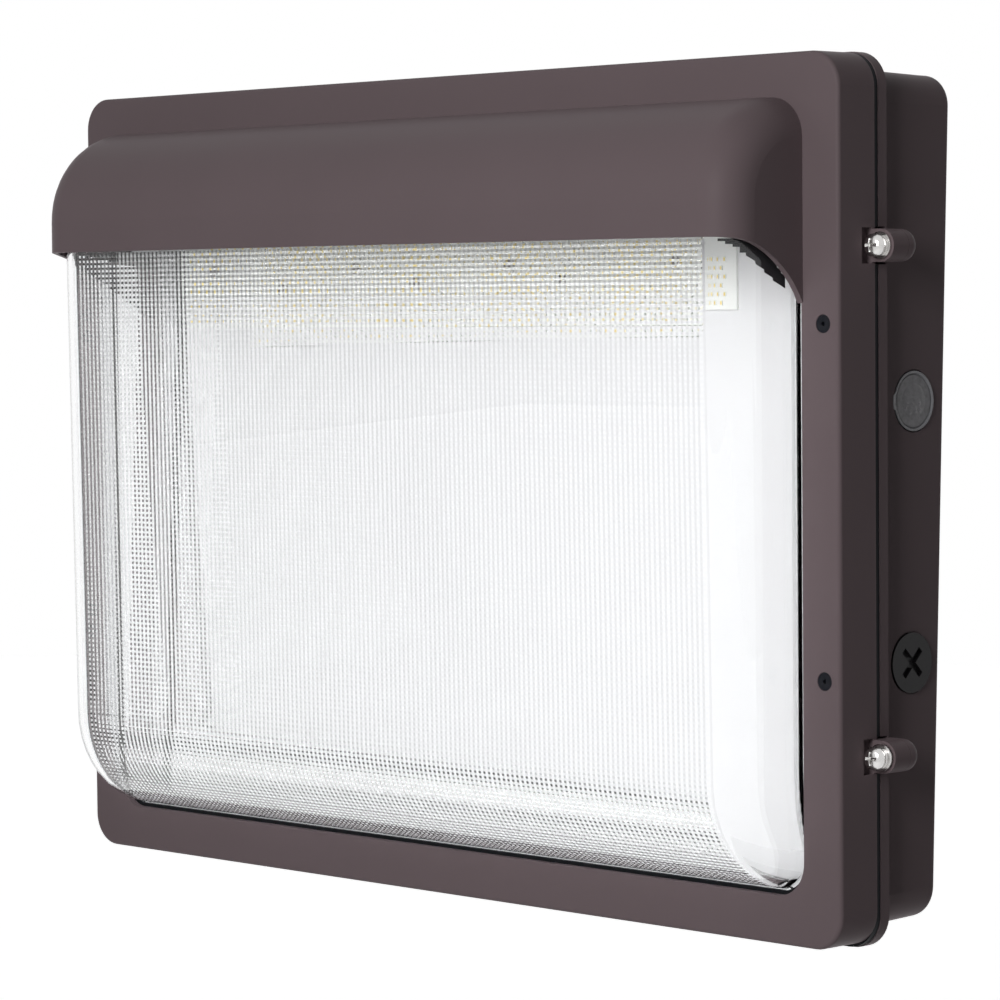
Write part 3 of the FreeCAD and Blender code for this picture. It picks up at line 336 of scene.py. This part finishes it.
# %% Which node wears which finish
NODE_FINISH = {
    "front_door": bronze_coat, "rear_housing": bronze_coat,
    "lens": clear_cover, "lens_gasket": seal_rubber, "housing_gasket": seal_rubber,
    "reflector_tray": white_tray, "led_board": board_white, "led_rows": led_yellow,
    "face_screws": black_screw, "tray_screws": steel, "board_screws": steel,
    "upper_captive_screw": steel, "upper_flat_washer": steel, "upper_spring_washer": steel,
    "lower_captive_screw": steel, "lower_flat_washer": steel, "lower_spring_washer": steel,
    "lower_star_washer": dark_steel, "hinge_pins": steel, "conduit_plugs": plug_plastic,
    "photocell": cell_clear, "photocell_seal": seal_rubber, "photocell_nut": driver_plastic,
    "wire_grommet": bush_rubber, "driver_case": driver_metal,
    "driver_end_caps": driver_plastic, "driver_screws": steel,
    "terminal_block": terminal_plastic, "terminal_screws": terminal_brass,
    "earth_screw": earth_green,
}
for node_name, node_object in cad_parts.items():
    for material_slot in node_object.material_slots:
        material_slot.material = NODE_FINISH[node_name]
print("nodes with a finish:", len(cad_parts))

# %% [markdown]
# ## The clear cover
# The real cover is one moulding of clear plastic. Its outside is smooth. Inside, thousands of
# tiny prisms break up the glare of the lamp. A box with a bump map would look flat from
# close by, so here the prisms are geometry.
#
# The outside and the inside are the same shape at two sizes. Seen from the side, the cover's
# line runs forward along the top, rounds down, falls straight, and rolls under at the bottom.
# Across that line it is flat in front, rounds off at each end, and runs straight back.

# %% The cover's side line
COVER = {"half": 181.3, "top": 130.4, "top_round": 30.0, "front_top": -32.8,
         "front_low": -30.0, "roll_from": -92.0, "roll": 40.0, "wall": 2.6,
         "end_round": 11.2, "taper": 2.1, "front": 4.5, "back": 6.5,
         "rim_x": 188.0, "rim_z": 137.5}
PRISM_TOP, PRISM_TALL = 88.0, 1.87
ROLL_END, FALL_ANGLE = math.radians(76.0), 0.0155
TOP_ROWS, TURN_ROWS, LAST_ROWS = 3, 13, 3


def side_line(inset, back, row_step):
    """Points (n, 2) = (y, z) down the cover's middle, outward directions, and the prism rows.

    Formula: a level line, a quarter circle, a straight fall, and a circle of the roll's
    radius, up to the plane y = back. An inset moves each inward by the same amount.
    """
    c = COVER
    top, top_round = c["top"] - inset, c["top_round"] - inset
    front_top, front_low = c["front_top"] + inset, c["front_low"] + inset
    roll = c["roll"] - inset
    centre_y = front_low + roll
    last = math.acos(min(1.0, (centre_y - back) / roll))
    level = np.linspace(back, front_top + top_round, TOP_ROWS + 1)[:-1]
    turn = np.radians(np.linspace(90, 0, TURN_ROWS))
    z_low, z_high = c["roll_from"], c["top"] - c["top_round"]
    rows = np.arange(PRISM_TOP, z_low, -row_step)
    fall_z = np.concatenate([[(z_high + PRISM_TOP) / 2], rows])
    fall_y = front_low + (front_top - front_low) * (fall_z - z_low) / (z_high - z_low)
    first = (z_low - rows[-1] + row_step) / c["roll"]
    bend = np.arange(first, ROLL_END, row_step / c["roll"])
    first_prism = TOP_ROWS + TURN_ROWS + 1
    last_prism = first_prism + len(fall_z) + len(bend) - 2
    bend = np.concatenate([bend, np.linspace(bend[-1], last, LAST_ROWS + 1)[1:]])
    y = np.concatenate([level, front_top + top_round - top_round * np.cos(turn), fall_y,
                        centre_y - roll * np.cos(bend)])
    z = np.concatenate([np.full(TOP_ROWS, top), top - top_round + top_round * np.sin(turn),
                        fall_z, z_low - roll * np.sin(bend)])
    angle = np.concatenate([np.full(TOP_ROWS, np.pi / 2), turn,
                            np.full(len(fall_z), FALL_ANGLE), -bend])
    outward = np.stack([-np.cos(angle), np.sin(angle)], axis=-1)
    return np.stack([y, z], axis=-1), outward, (first_prism, last_prism)


_, _, prism_rows = side_line(0.0, COVER["front"], PRISM_TALL / 2)
print("rows of half prisms down the cover:", prism_rows[1] - prism_rows[0])

# %% [markdown]
# ### The prisms
# The prism field is two sets of ridges that cross, like an egg crate seen from behind. An Array
# modifier could repeat one prism, but not round the bottom roll. As part of the surface's own
# formula the ridges follow every bend. Each ridge is a zigzag, so every little square of four
# faces splits the view in four directions.

# %% The cover's shells
PRISM_SIDE, PRISM_WIDE = 168.6, 2.4
RIDGE_ACROSS, RIDGE_DOWN = 0.17, 0.17
GROOVE_FROM, GROOVE_HALF, GROOVE_DEEP = 169.2, 0.45, 0.9
WALL_REACH, CORNER_STEPS = 0.93, 6


def cover_shell(inset, back, row_step, x_step, side_steps, ridged):
    """The cover's surface at one size, as a grid of points (rows, columns, 3).

    Formula: across each row, x runs flat, then a quarter circle of the end round from the
    row's outward direction to sideways, then a straight line to the back plane. In the prism
    field the depth is RIDGE_ACROSS * zigzag(x) + RIDGE_DOWN * zigzag(row), both 0 or 1 at
    every other line; a deeper single V runs down its right end.
    """
    c = COVER
    line, outward, (first, last) = side_line(inset, back, row_step)
    half, bend = c["half"] - inset, c["end_round"] - inset
    columns = int(round(2 * PRISM_SIDE / x_step))
    field = np.linspace(PRISM_SIDE, -PRISM_SIDE, columns + 1)
    edge = np.array([half - bend, half - bend - GROOVE_HALF, GROOVE_FROM])
    flat = np.concatenate([edge, field, -edge[::-1]])
    sunk = np.zeros((len(flat), len(line)))
    if ridged:
        across = RIDGE_ACROSS * (np.arange(columns + 1) % 2)
        down = RIDGE_DOWN * (np.arange(last - first + 1) % 2)
        sunk[len(edge):-len(edge), first:last + 1] = across[:, None] + down[None, :]
        sunk[1, first:last + 1] = GROOVE_DEEP
    turn = np.radians(np.linspace(90, 0, CORNER_STEPS + 1)[:-1])
    inner = line - outward * bend
    inner[:, 0] = np.minimum(inner[:, 0], back)
    step = np.linalg.norm(np.diff(inner, axis=0), axis=1)
    share = np.concatenate([[0.0], np.cumsum(step)]) / step.sum()
    base_z = inner[0, 1] + (inner[-1, 1] - inner[0, 1]) * share
    base = np.stack([np.full(len(line), back), base_z], axis=-1)
    wall = base + (inner - base) * np.linspace(0.0, WALL_REACH, side_steps)[:, None, None]
    wall_x = np.full(wall.shape[:2] + (1,), half)
    corner = inner + bend * np.cos(turn)[:, None, None] * outward
    corner_x = np.broadcast_to((half - bend + bend * np.sin(turn))[:, None, None],
                               corner.shape[:2] + (1,))
    side = np.concatenate([np.concatenate([wall_x, wall], axis=-1),
                           np.concatenate([corner_x, corner], axis=-1)])
    middle = line + outward * sunk[:, :, None]
    middle = np.concatenate([np.broadcast_to(flat[:, None, None], middle.shape[:2] + (1,)),
                             middle], axis=-1)
    mirrored = side[::-1] * np.array([-1.0, 1.0, 1.0])
    grid = np.concatenate([side, middle, mirrored]).swapaxes(0, 1)
    lead = c["taper"] / -c["front_top"] / c["half"]
    grid[..., 0] *= 1 + np.minimum(grid[..., 1], 0.0) * lead
    return grid, (first, last), (len(side), len(side) + len(flat) - 1)


OUTSIDE_ROW, OUTSIDE_COLUMN, OUTSIDE_WALL_STEPS, INSIDE_WALL_STEPS = 6.0, 33.72, 3, 14
outside, _, _ = cover_shell(0.0, COVER["front"], OUTSIDE_ROW, OUTSIDE_COLUMN,
                            OUTSIDE_WALL_STEPS, False)
inside, field_rows, field_columns = cover_shell(COVER["wall"], COVER["back"], PRISM_TALL / 2,
                                                PRISM_WIDE / 2, INSIDE_WALL_STEPS, True)
print("rows and columns outside", outside.shape[:2], "and inside", inside.shape[:2])

# %% [markdown]
# ### The rim
# At the back the real cover ends in a flat rim that the door's plate holds. Bridge Edge Loops
# could join the shells to it by hand. Here a grid's border is a known list of vertex numbers, so
# each border point simply gets a partner on the rim. The outside's rim and the inside's have
# different numbers of points, so triangles zip them together.

# %% The cover's rim
def border(number):
    """The vertex numbers round a grid: its top row, one side, its bottom row, the other side."""
    return np.concatenate([number[0, :-1], number[:-1, -1], number[-1, :0:-1], number[:0:-1, 0]])


def rim_points(grid, y):
    """Where each border point of a shell lands on the rim, a rectangle in the plane y."""
    c = COVER
    rows, columns = grid.shape[:2]
    loop = grid.reshape(-1, 3)[border(np.arange(rows * columns).reshape(rows, columns))]
    rim = loop * np.array([c["rim_x"] / np.abs(loop[:, 0]).max(), 0.0,
                           c["rim_z"] / np.abs(loop[:, 2]).max()])
    place = np.arange(len(loop))
    top_end, side_end, low_end = np.cumsum([columns - 1, rows - 1, columns - 1])
    rim[place <= top_end, 2] = c["rim_z"]
    rim[(place >= side_end) & (place <= low_end), 2] = -c["rim_z"]
    rim[(place >= top_end) & (place <= side_end), 0] = math.copysign(c["rim_x"], grid[0, -1, 0])
    rim[(place >= low_end) | (place == 0), 0] = math.copysign(c["rim_x"], grid[0, 0, 0])
    rim[:, 1] = y
    return rim


def zip_rings(one, two, number_one, number_two):
    """Triangles between two closed rings with different numbers of points.

    Formula: each ring edge has an angle round the middle; the edges of both rings are taken in
    the order of these angles, and each makes a triangle with the other ring's current point.
    """
    halfway, count = [], (len(one), len(two))
    for ring in (one, two):
        angle = np.unwrap(np.arctan2(ring[:, 2], ring[:, 0]))
        turn = np.abs(np.append(angle, angle[0] + np.sign(angle[-1] - angle[0]) * 2 * np.pi)
                      - angle[0])
        halfway.append((turn[1:] + turn[:-1]) / 2)
    order = np.argsort(np.concatenate(halfway), kind="stable")
    from_one = order < count[0]
    i = (np.cumsum(from_one) - from_one) % count[0]
    j = (np.cumsum(~from_one) - ~from_one) % count[1]
    third = np.where(from_one, number_one[(i + 1) % count[0]], number_two[(j + 1) % count[1]])
    return np.stack([number_two[j], third, number_one[i]], axis=-1)


front_rim, back_rim = rim_points(outside, COVER["front"]), rim_points(inside, COVER["back"])
print("points on the rim:", len(front_rim), "in front and", len(back_rim), "behind")

# %% [markdown]
# ### Grey and dark faces: painted shade
# Beside the prism field the real cover shows a grey line, and along the hood's end a thin black
# crescent, where its wall bends the view into the hood's dark inside. Both are shade that could
# come from the light alone, but only with every edge in its exact shape. Here that shade is
# painted
# instead: the faces there get a grey or a black finish of their own, which is simple and sure.

# %% Which faces get painted grey or dark shade
CLEAR, PAINTED_GREY_SHADE, PAINTED_SHADE = 0, 1, 2
HOOD_RUN, HOOD_FALL, HOOD_LIP = 37.2, 22.1, 88.5
DARK_FROM, DARK_TO, DARK_TALL, DARK_ABOVE = -34.0, -3.0, 4.2, 3.0
END_FROM = 173.0


def under_hood_end(places):
    """Which places on the cover's ends get the painted dark shade of the crescent along the hood's
    end edge.

    Formula: the edge is a circle through (y, z) = (-37.2, 88.5) and (0, 66.4), level at its
    front. The crescent hangs below it by DARK_TALL * 27/4 t^2 (1 - t), t from 0 to 1 along y.
    """
    x, y, z = np.moveaxis(places, -1, 0)
    radius = (HOOD_RUN ** 2 + HOOD_FALL ** 2) / (2 * HOOD_FALL)
    edge = HOOD_LIP - radius + np.sqrt(np.maximum(radius ** 2 - (y + HOOD_RUN) ** 2, 0.0))
    t = (y - DARK_FROM) / (DARK_TO - DARK_FROM)
    low = edge - DARK_TALL * 6.75 * t * t * (1 - t)
    return (np.abs(x) > END_FROM) & (t > 0) & (t < 1) & (z > low) & (z < edge + DARK_ABOVE)


def inside_kinds():
    """CLEAR, PAINTED_GREY_SHADE or PAINTED_SHADE for every face of the inside, as a grid."""
    middles = (inside[:-1, :-1] + inside[1:, :-1] + inside[1:, 1:] + inside[:-1, 1:]) / 4
    kind = np.full(middles.shape[:2], CLEAR)
    # Painted grey shade on the two columns beside the prism field.
    kind[field_rows[0]:field_rows[1], [field_columns[0] + 1, field_columns[1] - 2]] = PAINTED_GREY_SHADE
    # Painted black shade on the crescent under each hood end.
    kind[under_hood_end(middles)] = PAINTED_SHADE
    return kind


print("dark faces:", int((inside_kinds() == PAINTED_SHADE).sum()))

# %% [markdown]
# ### The cover in one piece
# Both shells, the strips out to the rims and the zip between them make one closed skin. The
# prism faces stay flat, because their sharp edges split the view, and the rest is smooth.

# %% The cover
def cover_mesh():
    """The cover's points and faces, which faces are smooth, and each face's kind."""
    out_number = np.arange(outside[..., 0].size).reshape(outside.shape[:2])
    in_number = out_number.size + np.arange(inside[..., 0].size).reshape(inside.shape[:2])
    front_ring = out_number.size + in_number.size + np.arange(len(front_rim))
    back_ring = front_ring[-1] + 1 + np.arange(len(back_rim))
    quads = [grid_faces(out_number)[:, ::-1], grid_faces(in_number)]
    for outer, inner in ((border(out_number), front_ring), (back_ring, border(in_number))):
        quads.append(np.stack([inner, np.roll(inner, -1), np.roll(outer, -1), outer], axis=-1))
    band = zip_rings(front_rim, back_rim, front_ring, back_ring)
    faces = np.concatenate(quads).tolist() + band.tolist()
    kinds = inside_kinds()
    prisms = np.zeros(kinds.shape, bool)
    prisms[field_rows[0]:field_rows[1], field_columns[0]:field_columns[1]] = True
    first = len(quads[0])
    smooth, kind = np.zeros(len(faces), bool), np.full(len(faces), CLEAR)
    smooth[:first] = True
    smooth[first:first + kinds.size] = ~prisms.reshape(-1)
    kind[first:first + kinds.size] = kinds.reshape(-1)
    points = np.concatenate([outside.reshape(-1, 3), inside.reshape(-1, 3), front_rim, back_rim])
    return points, faces, smooth, kind


cover_points, cover_faces, cover_smooth, cover_kind = cover_mesh()
cover = make_piece("prism_cover", lean(cover_points), cover_faces, cover_smooth)
# The grey and the black finishes here are painted shade on the inside's faces.
for material in (clear_cover, cover_painted_line_shade, cover_painted_shade):
    cover.data.materials.append(material)
cover.data.polygons.foreach_set("material_index", cover_kind.astype(np.int32))
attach(cover, "door")
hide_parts("lens")

# %% [markdown]
# ## The LED chips
# The lamp is a white circuit board under the hood with twelve rows of small square chips.
# Each chip is a white package with a yellow window of phosphor. An Array modifier could repeat
# one chip, but the rows are staggered, so one array of centres places them all.

# %% The chips
CHIP_PITCH, CHIP_HALF, CHIP_WINDOW = 4.7, 0.8, 0.62
CHIP_ROWS, ROW_PITCH, FIRST_ROW = 12, 3.0, 66.7
ROW_HALF, ROW_MARGIN, BOARD_MIDDLE = 142.0, 1.2, 86.0
CHIP_BACK, CHIP_FRONT, CHIP_RECESS = 12.4, 11.7, 11.82


def chip_places():
    """Centres (n, 2) = (x, z) of all chips: twelve rows, every other one moved by half."""
    low = FIRST_ROW + ROW_PITCH * np.arange(CHIP_ROWS // 2)
    rows = np.concatenate([low, 2 * BOARD_MIDDLE - low[::-1]])
    per_row = int(2 * (ROW_HALF - ROW_MARGIN) / CHIP_PITCH)
    across = (np.arange(per_row) - (per_row - 1) / 2) * CHIP_PITCH
    shift = np.where(np.arange(CHIP_ROWS) % 2 == 0, 0.0, CHIP_PITCH / 2)
    x = (across[None, :] + shift[:, None] - CHIP_PITCH / 4).reshape(-1)
    z = np.repeat(rows, per_row)
    return np.stack([x, z], axis=-1)


def chip_mesh(places):
    """Each chip: four corners on the board, four in front, and a sunk square window."""
    ring = np.array([(-1, -1), (1, -1), (1, 1), (-1, 1)], dtype=float)
    levels = [(CHIP_HALF, CHIP_BACK), (CHIP_HALF, CHIP_FRONT), (CHIP_WINDOW, CHIP_FRONT),
              (CHIP_WINDOW, CHIP_RECESS)]
    corners = [np.stack([ring[:, 0] * h, np.full(4, y), ring[:, 1] * h], -1) for h, y in levels]
    one = np.concatenate(corners)
    centres = np.stack([places[:, 0], np.zeros(len(places)), places[:, 1]], axis=-1)
    points = centres[:, None, :] + one[None]
    faces = [(3, 2, 1, 0)]
    for a in (0, 4, 8):
        faces += [(a + i, a + (i + 1) % 4, a + 4 + (i + 1) % 4, a + 4 + i) for i in range(4)]
    faces.append((12, 13, 14, 15))
    faces = np.array(faces)
    every = (faces[None] + len(one) * np.arange(len(places))[:, None, None]).reshape(-1, 4)
    window = np.tile(np.arange(len(faces)) == len(faces) - 1, len(places))
    return points.reshape(-1, 3), every.tolist(), window


chip_points, chip_faces, is_window = chip_mesh(chip_places())
chips = make_piece("led_chips", lean(chip_points), chip_faces, False)
chips.data.materials.append(board_white)
chips.data.materials.append(led_yellow)
chips.data.polygons.foreach_set("material_index", is_window.astype(np.int32))
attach(chips, "door")
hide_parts("led_rows")

# %% [markdown]
# ## Turned shapes
# The screws and the light sensor are turned: a line of radius against depth goes round an axis.
# A Screw modifier does that too, but here the radius and the depth may also change with the
# angle, which gives the cross in a screw's head, its thread, and the sensor's small tab.

# %% Turned shapes
TURN_COLUMNS = 96
TURN_ANGLES = np.arange(TURN_COLUMNS) * 2 * np.pi / TURN_COLUMNS


def turned(radius, depth):
    """A closed surface of rings round an axis, with a fan of triangles at each end.

    radius and depth are (rows, TURN_COLUMNS); a point is (radius cos t, depth, radius sin t)
    at the column's angle t. The first and the last row close on the axis.
    """
    rows, columns = radius.shape
    rings = np.stack([radius * np.cos(TURN_ANGLES), depth, radius * np.sin(TURN_ANGLES)], axis=-1)
    ends = [[0.0, depth[0].mean(), 0.0], [0.0, depth[-1].mean(), 0.0]]
    points = np.concatenate([rings.reshape(-1, 3), ends])
    number = np.arange(rows * columns).reshape(rows, columns)
    wrapped = np.concatenate([number, number[:, :1]], axis=1)
    faces = grid_faces(wrapped).tolist()
    middle = np.full(columns, number.size)
    faces += np.stack([middle, wrapped[0, :-1], wrapped[0, 1:]], axis=-1).tolist()
    faces += np.stack([middle + 1, wrapped[-1, 1:], wrapped[-1, :-1]], axis=-1).tolist()
    return points, faces


print("columns round a turned piece:", TURN_COLUMNS)

# %% [markdown]
# ### The captive screws
# Two steel screws on the right hold the door shut. Each has a domed head with a cross recess, a
# thin waist, and a thread. A Boolean could cut the recess, but its slivers shade badly. Sinking
# the head's own rings by a formula keeps the faces even.

# %% The captive screws
SCREW_X, SCREW_Z, EAR_FRONT, SEAT_GAP = 204.2, 85.4, 16.6, 0.05
WASHERS = {"upper": 2.1, "lower": 3.0}
HEAD_R, HEAD_LONG, HEAD_EDGE = 3.9, 3.6, 0.15
CROWN, CROWN_POWER, CROWN_ROWS = 2.3, 2.6, 40
WAIST_R, THREAD_R, THREAD_FROM, TIP = 1.5, 2.0, 23.0, 27.0
THREAD_PITCH, THREAD_DEEP, THREAD_ROWS = 0.7, 0.35, 50
CROSS_ARM, CROSS_HALF, CROSS_DEEP = 2.35, 0.5, 1.5
ARM_SLOPE, SIDE_SLOPE = 1.1, 0.18


def screw_mesh(seat):
    """A pan-head screw whose head rests at depth seat.

    Formula: with p = CROWN_POWER the crown is depth = top + CROWN (1 - (1 - (r/R)^p)^(1/p));
    inside the cross it is sunk by CROSS_DEEP, less towards the arms' ends; the thread is a
    zigzag of the angle plus depth over the pitch.
    """
    top, angle = seat - HEAD_LONG, TURN_ANGLES
    share = np.sin(np.linspace(0.03, 0.995, CROWN_ROWS) * np.pi / 2)[:, None]
    cap_r = np.broadcast_to(HEAD_R * share, (CROWN_ROWS, TURN_COLUMNS))
    along = np.maximum(np.abs(np.cos(angle)), np.abs(np.sin(angle))) * cap_r
    aside = np.minimum(np.abs(np.cos(angle)), np.abs(np.sin(angle))) * cap_r
    cross = np.minimum(np.clip((CROSS_ARM - along) / ARM_SLOPE, 0, 1),
                       np.clip((CROSS_HALF - aside) / SIDE_SLOPE, 0, 1))
    crown = top + CROWN * (1 - (1 - share ** CROWN_POWER) ** (1 / CROWN_POWER))
    cap_y = crown + CROSS_DEEP * cross
    line = np.array([(HEAD_R, top + CROWN + 0.1), (HEAD_R, seat - HEAD_EDGE),
                     (HEAD_R - HEAD_EDGE, seat), (WAIST_R, seat), (WAIST_R, THREAD_FROM)])
    thread_y = np.linspace(THREAD_FROM + 0.02, TIP - 0.5, THREAD_ROWS)[:, None]
    phase = (angle / (2 * np.pi) + thread_y / THREAD_PITCH) % 1.0
    thread_r = THREAD_R - THREAD_DEEP * np.abs(2 * phase - 1)
    tip = np.array([(WAIST_R - 0.1, TIP - 0.3), (WAIST_R - 0.3, TIP)])
    even = np.ones(TURN_COLUMNS)
    radius = np.concatenate([cap_r, line[:, :1] * even, thread_r, tip[:, :1] * even])
    depth = np.concatenate([cap_y, line[:, 1:] * even, thread_y * even, tip[:, 1:] * even])
    return turned(radius, depth)


for side, sign in (("upper", 1), ("lower", -1)):
    screw_points, screw_faces = screw_mesh(EAR_FRONT - WASHERS[side] - SEAT_GAP)
    screw_points[:, 0] += SCREW_X
    screw_points[:, 2] += sign * SCREW_Z
    screw = make_piece(side + "_screw_turned", lean(screw_points), screw_faces)
    screw.data.materials.append(steel)
    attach(screw, side + "_screw")
    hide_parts(side + "_captive_screw")

# %% [markdown]
# ### The light sensor
# A round button in the right side switches the lamp on at dusk. Its window has faint marks of
# what lies under it, a sunk ring goes round it, and a tab points to the door. The marks could
# be a bump map, but small hills in the surface also catch the light from the side.

# %% The light sensor
CELL_X, CELL_Y, CELL_Z = 193.8, 44.7, 32.9
FACE_LINE = np.array([(0.0, 0.90), (2.0, 0.88), (4.2, 0.80), (5.6, 0.66), (6.0, 0.56),
                      (7.0, 0.60), (8.6, 0.64)])
RIM_LINE = np.array([(8.9, 0.60), (9.0, 0.10), (9.4, 0.10), (9.5, 0.85), (9.7, 0.97),
                     (10.0, 0.97), (10.2, 0.90), (10.25, 0.62), (10.25, 0.58), (10.25, 0.0),
                     (8.0, 0.0), (8.0, -23.0)])
TAB_HALF_ANGLE, TAB_EDGE, TAB_OUT = 0.28, 0.04, 0.9
FACE_ROWS, FACE_FROM, FACE_R, WINDOW_R = 40, 0.05, 8.6, 5.8
LEVEL_AT, LEVEL_WIDE, LEVEL_END, LEVEL_TALL = 1.3, 0.25, 1.5, 0.25
BUMP_TALL = 0.5
BUMPS = ((-3.6, -1.0, 0.45), (-1.2, -1.4, 0.5), (2.6, -0.9, 0.5), (0.6, -3.0, 0.7),
         (-2.2, -3.6, 0.6), (3.0, -3.2, 0.5), (-4.4, -2.6, 0.4))


def cell_relief(across, up):
    """The marks inside the sensor's window: a level line and small bumps, in millimetres."""
    height = LEVEL_TALL * np.exp(-((up - LEVEL_AT) / LEVEL_WIDE) ** 2) * (across < LEVEL_END)
    for place, level, size in BUMPS:
        away = (across - place) ** 2 + (up - level) ** 2
        height = height + BUMP_TALL * np.exp(-away / size ** 2)
    return height


def cell_mesh():
    """The sensor's button, its sunk ring and its threaded body, turned about X.

    Formula: the face's height is a line of the radius plus the relief; four rows of the rim
    move out by TAB_OUT within TAB_HALF_ANGLE of the side that faces the door.
    """
    angle, even = TURN_ANGLES, np.ones(TURN_COLUMNS)
    face_r = np.linspace(FACE_FROM, FACE_R, FACE_ROWS)[:, None] * even
    relief = cell_relief(face_r * np.cos(angle), face_r * np.sin(angle))
    face_h = np.interp(face_r, FACE_LINE[:, 0], FACE_LINE[:, 1]) + relief * (face_r < WINDOW_R)
    rim_r = RIM_LINE[:, :1] * even
    rim_r[4:8] += TAB_OUT * np.clip((TAB_HALF_ANGLE - np.abs(angle - np.pi)) / TAB_EDGE, 0.0, 1.0)
    radius = np.concatenate([face_r, rim_r])
    height = np.concatenate([face_h, RIM_LINE[:, 1:] * even])
    points, faces = turned(radius, -height)
    is_rim = np.arange(len(faces)) // TURN_COLUMNS >= FACE_ROWS + 2
    return np.stack([CELL_X - points[:, 1], CELL_Y + points[:, 0], CELL_Z + points[:, 2]],
                    axis=-1), faces, is_rim


cell_points, cell_faces, cell_is_rim = cell_mesh()
cell = make_piece("light_sensor", lean(cell_points), cell_faces)
cell.data.materials.append(cell_clear)
cell.data.materials.append(cell_rim)
cell.data.polygons.foreach_set("material_index", cell_is_rim.astype(np.int32))
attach(cell, "housing")
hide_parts("photocell")

# %% [markdown]
# ## The floor
# A pale floor lies well below the light. Sight rays find it a little brighter than it is lit,
# so it meets the white world without a line, and still shows the light's shadow.

# %% The floor
FLOOR_DROP, FLOOR_HALF, FLOOR_LINES, FLOOR_GLOW = 0.42, 6.0, 9, 0.9
floor_z = cad_box[0][2] - FLOOR_DROP
across = np.linspace(-FLOOR_HALF, FLOOR_HALF, FLOOR_LINES)
gx, gy = np.meshgrid(across, across)
floor_points = np.stack([gx, gy, np.full_like(gx, floor_z)], axis=-1)
floor_faces = grid_faces(np.arange(gx.size).reshape(gx.shape))[:, ::-1].tolist()
floor = make_piece("floor", floor_points, floor_faces)
floor_paint = finish("floor_paint", (0.86, 0.86, 0.86), 0.8, drift=0.01, patch=0.6)
nodes, links = floor_paint.node_tree.nodes, floor_paint.node_tree.links
shader = nodes["Principled BSDF"]
shader.inputs["Emission Color"].default_value = (1.0, 1.0, 1.0, 1.0)
glow = nodes.new("ShaderNodeMath")
glow.operation = "MULTIPLY"
glow.inputs[1].default_value = FLOOR_GLOW
links.new(white_for_sight(nodes, links), glow.inputs[0])
links.new(glow.outputs[0], shader.inputs["Emission Strength"])
floor.data.materials.append(floor_paint)

# %% Done
print("scene built")
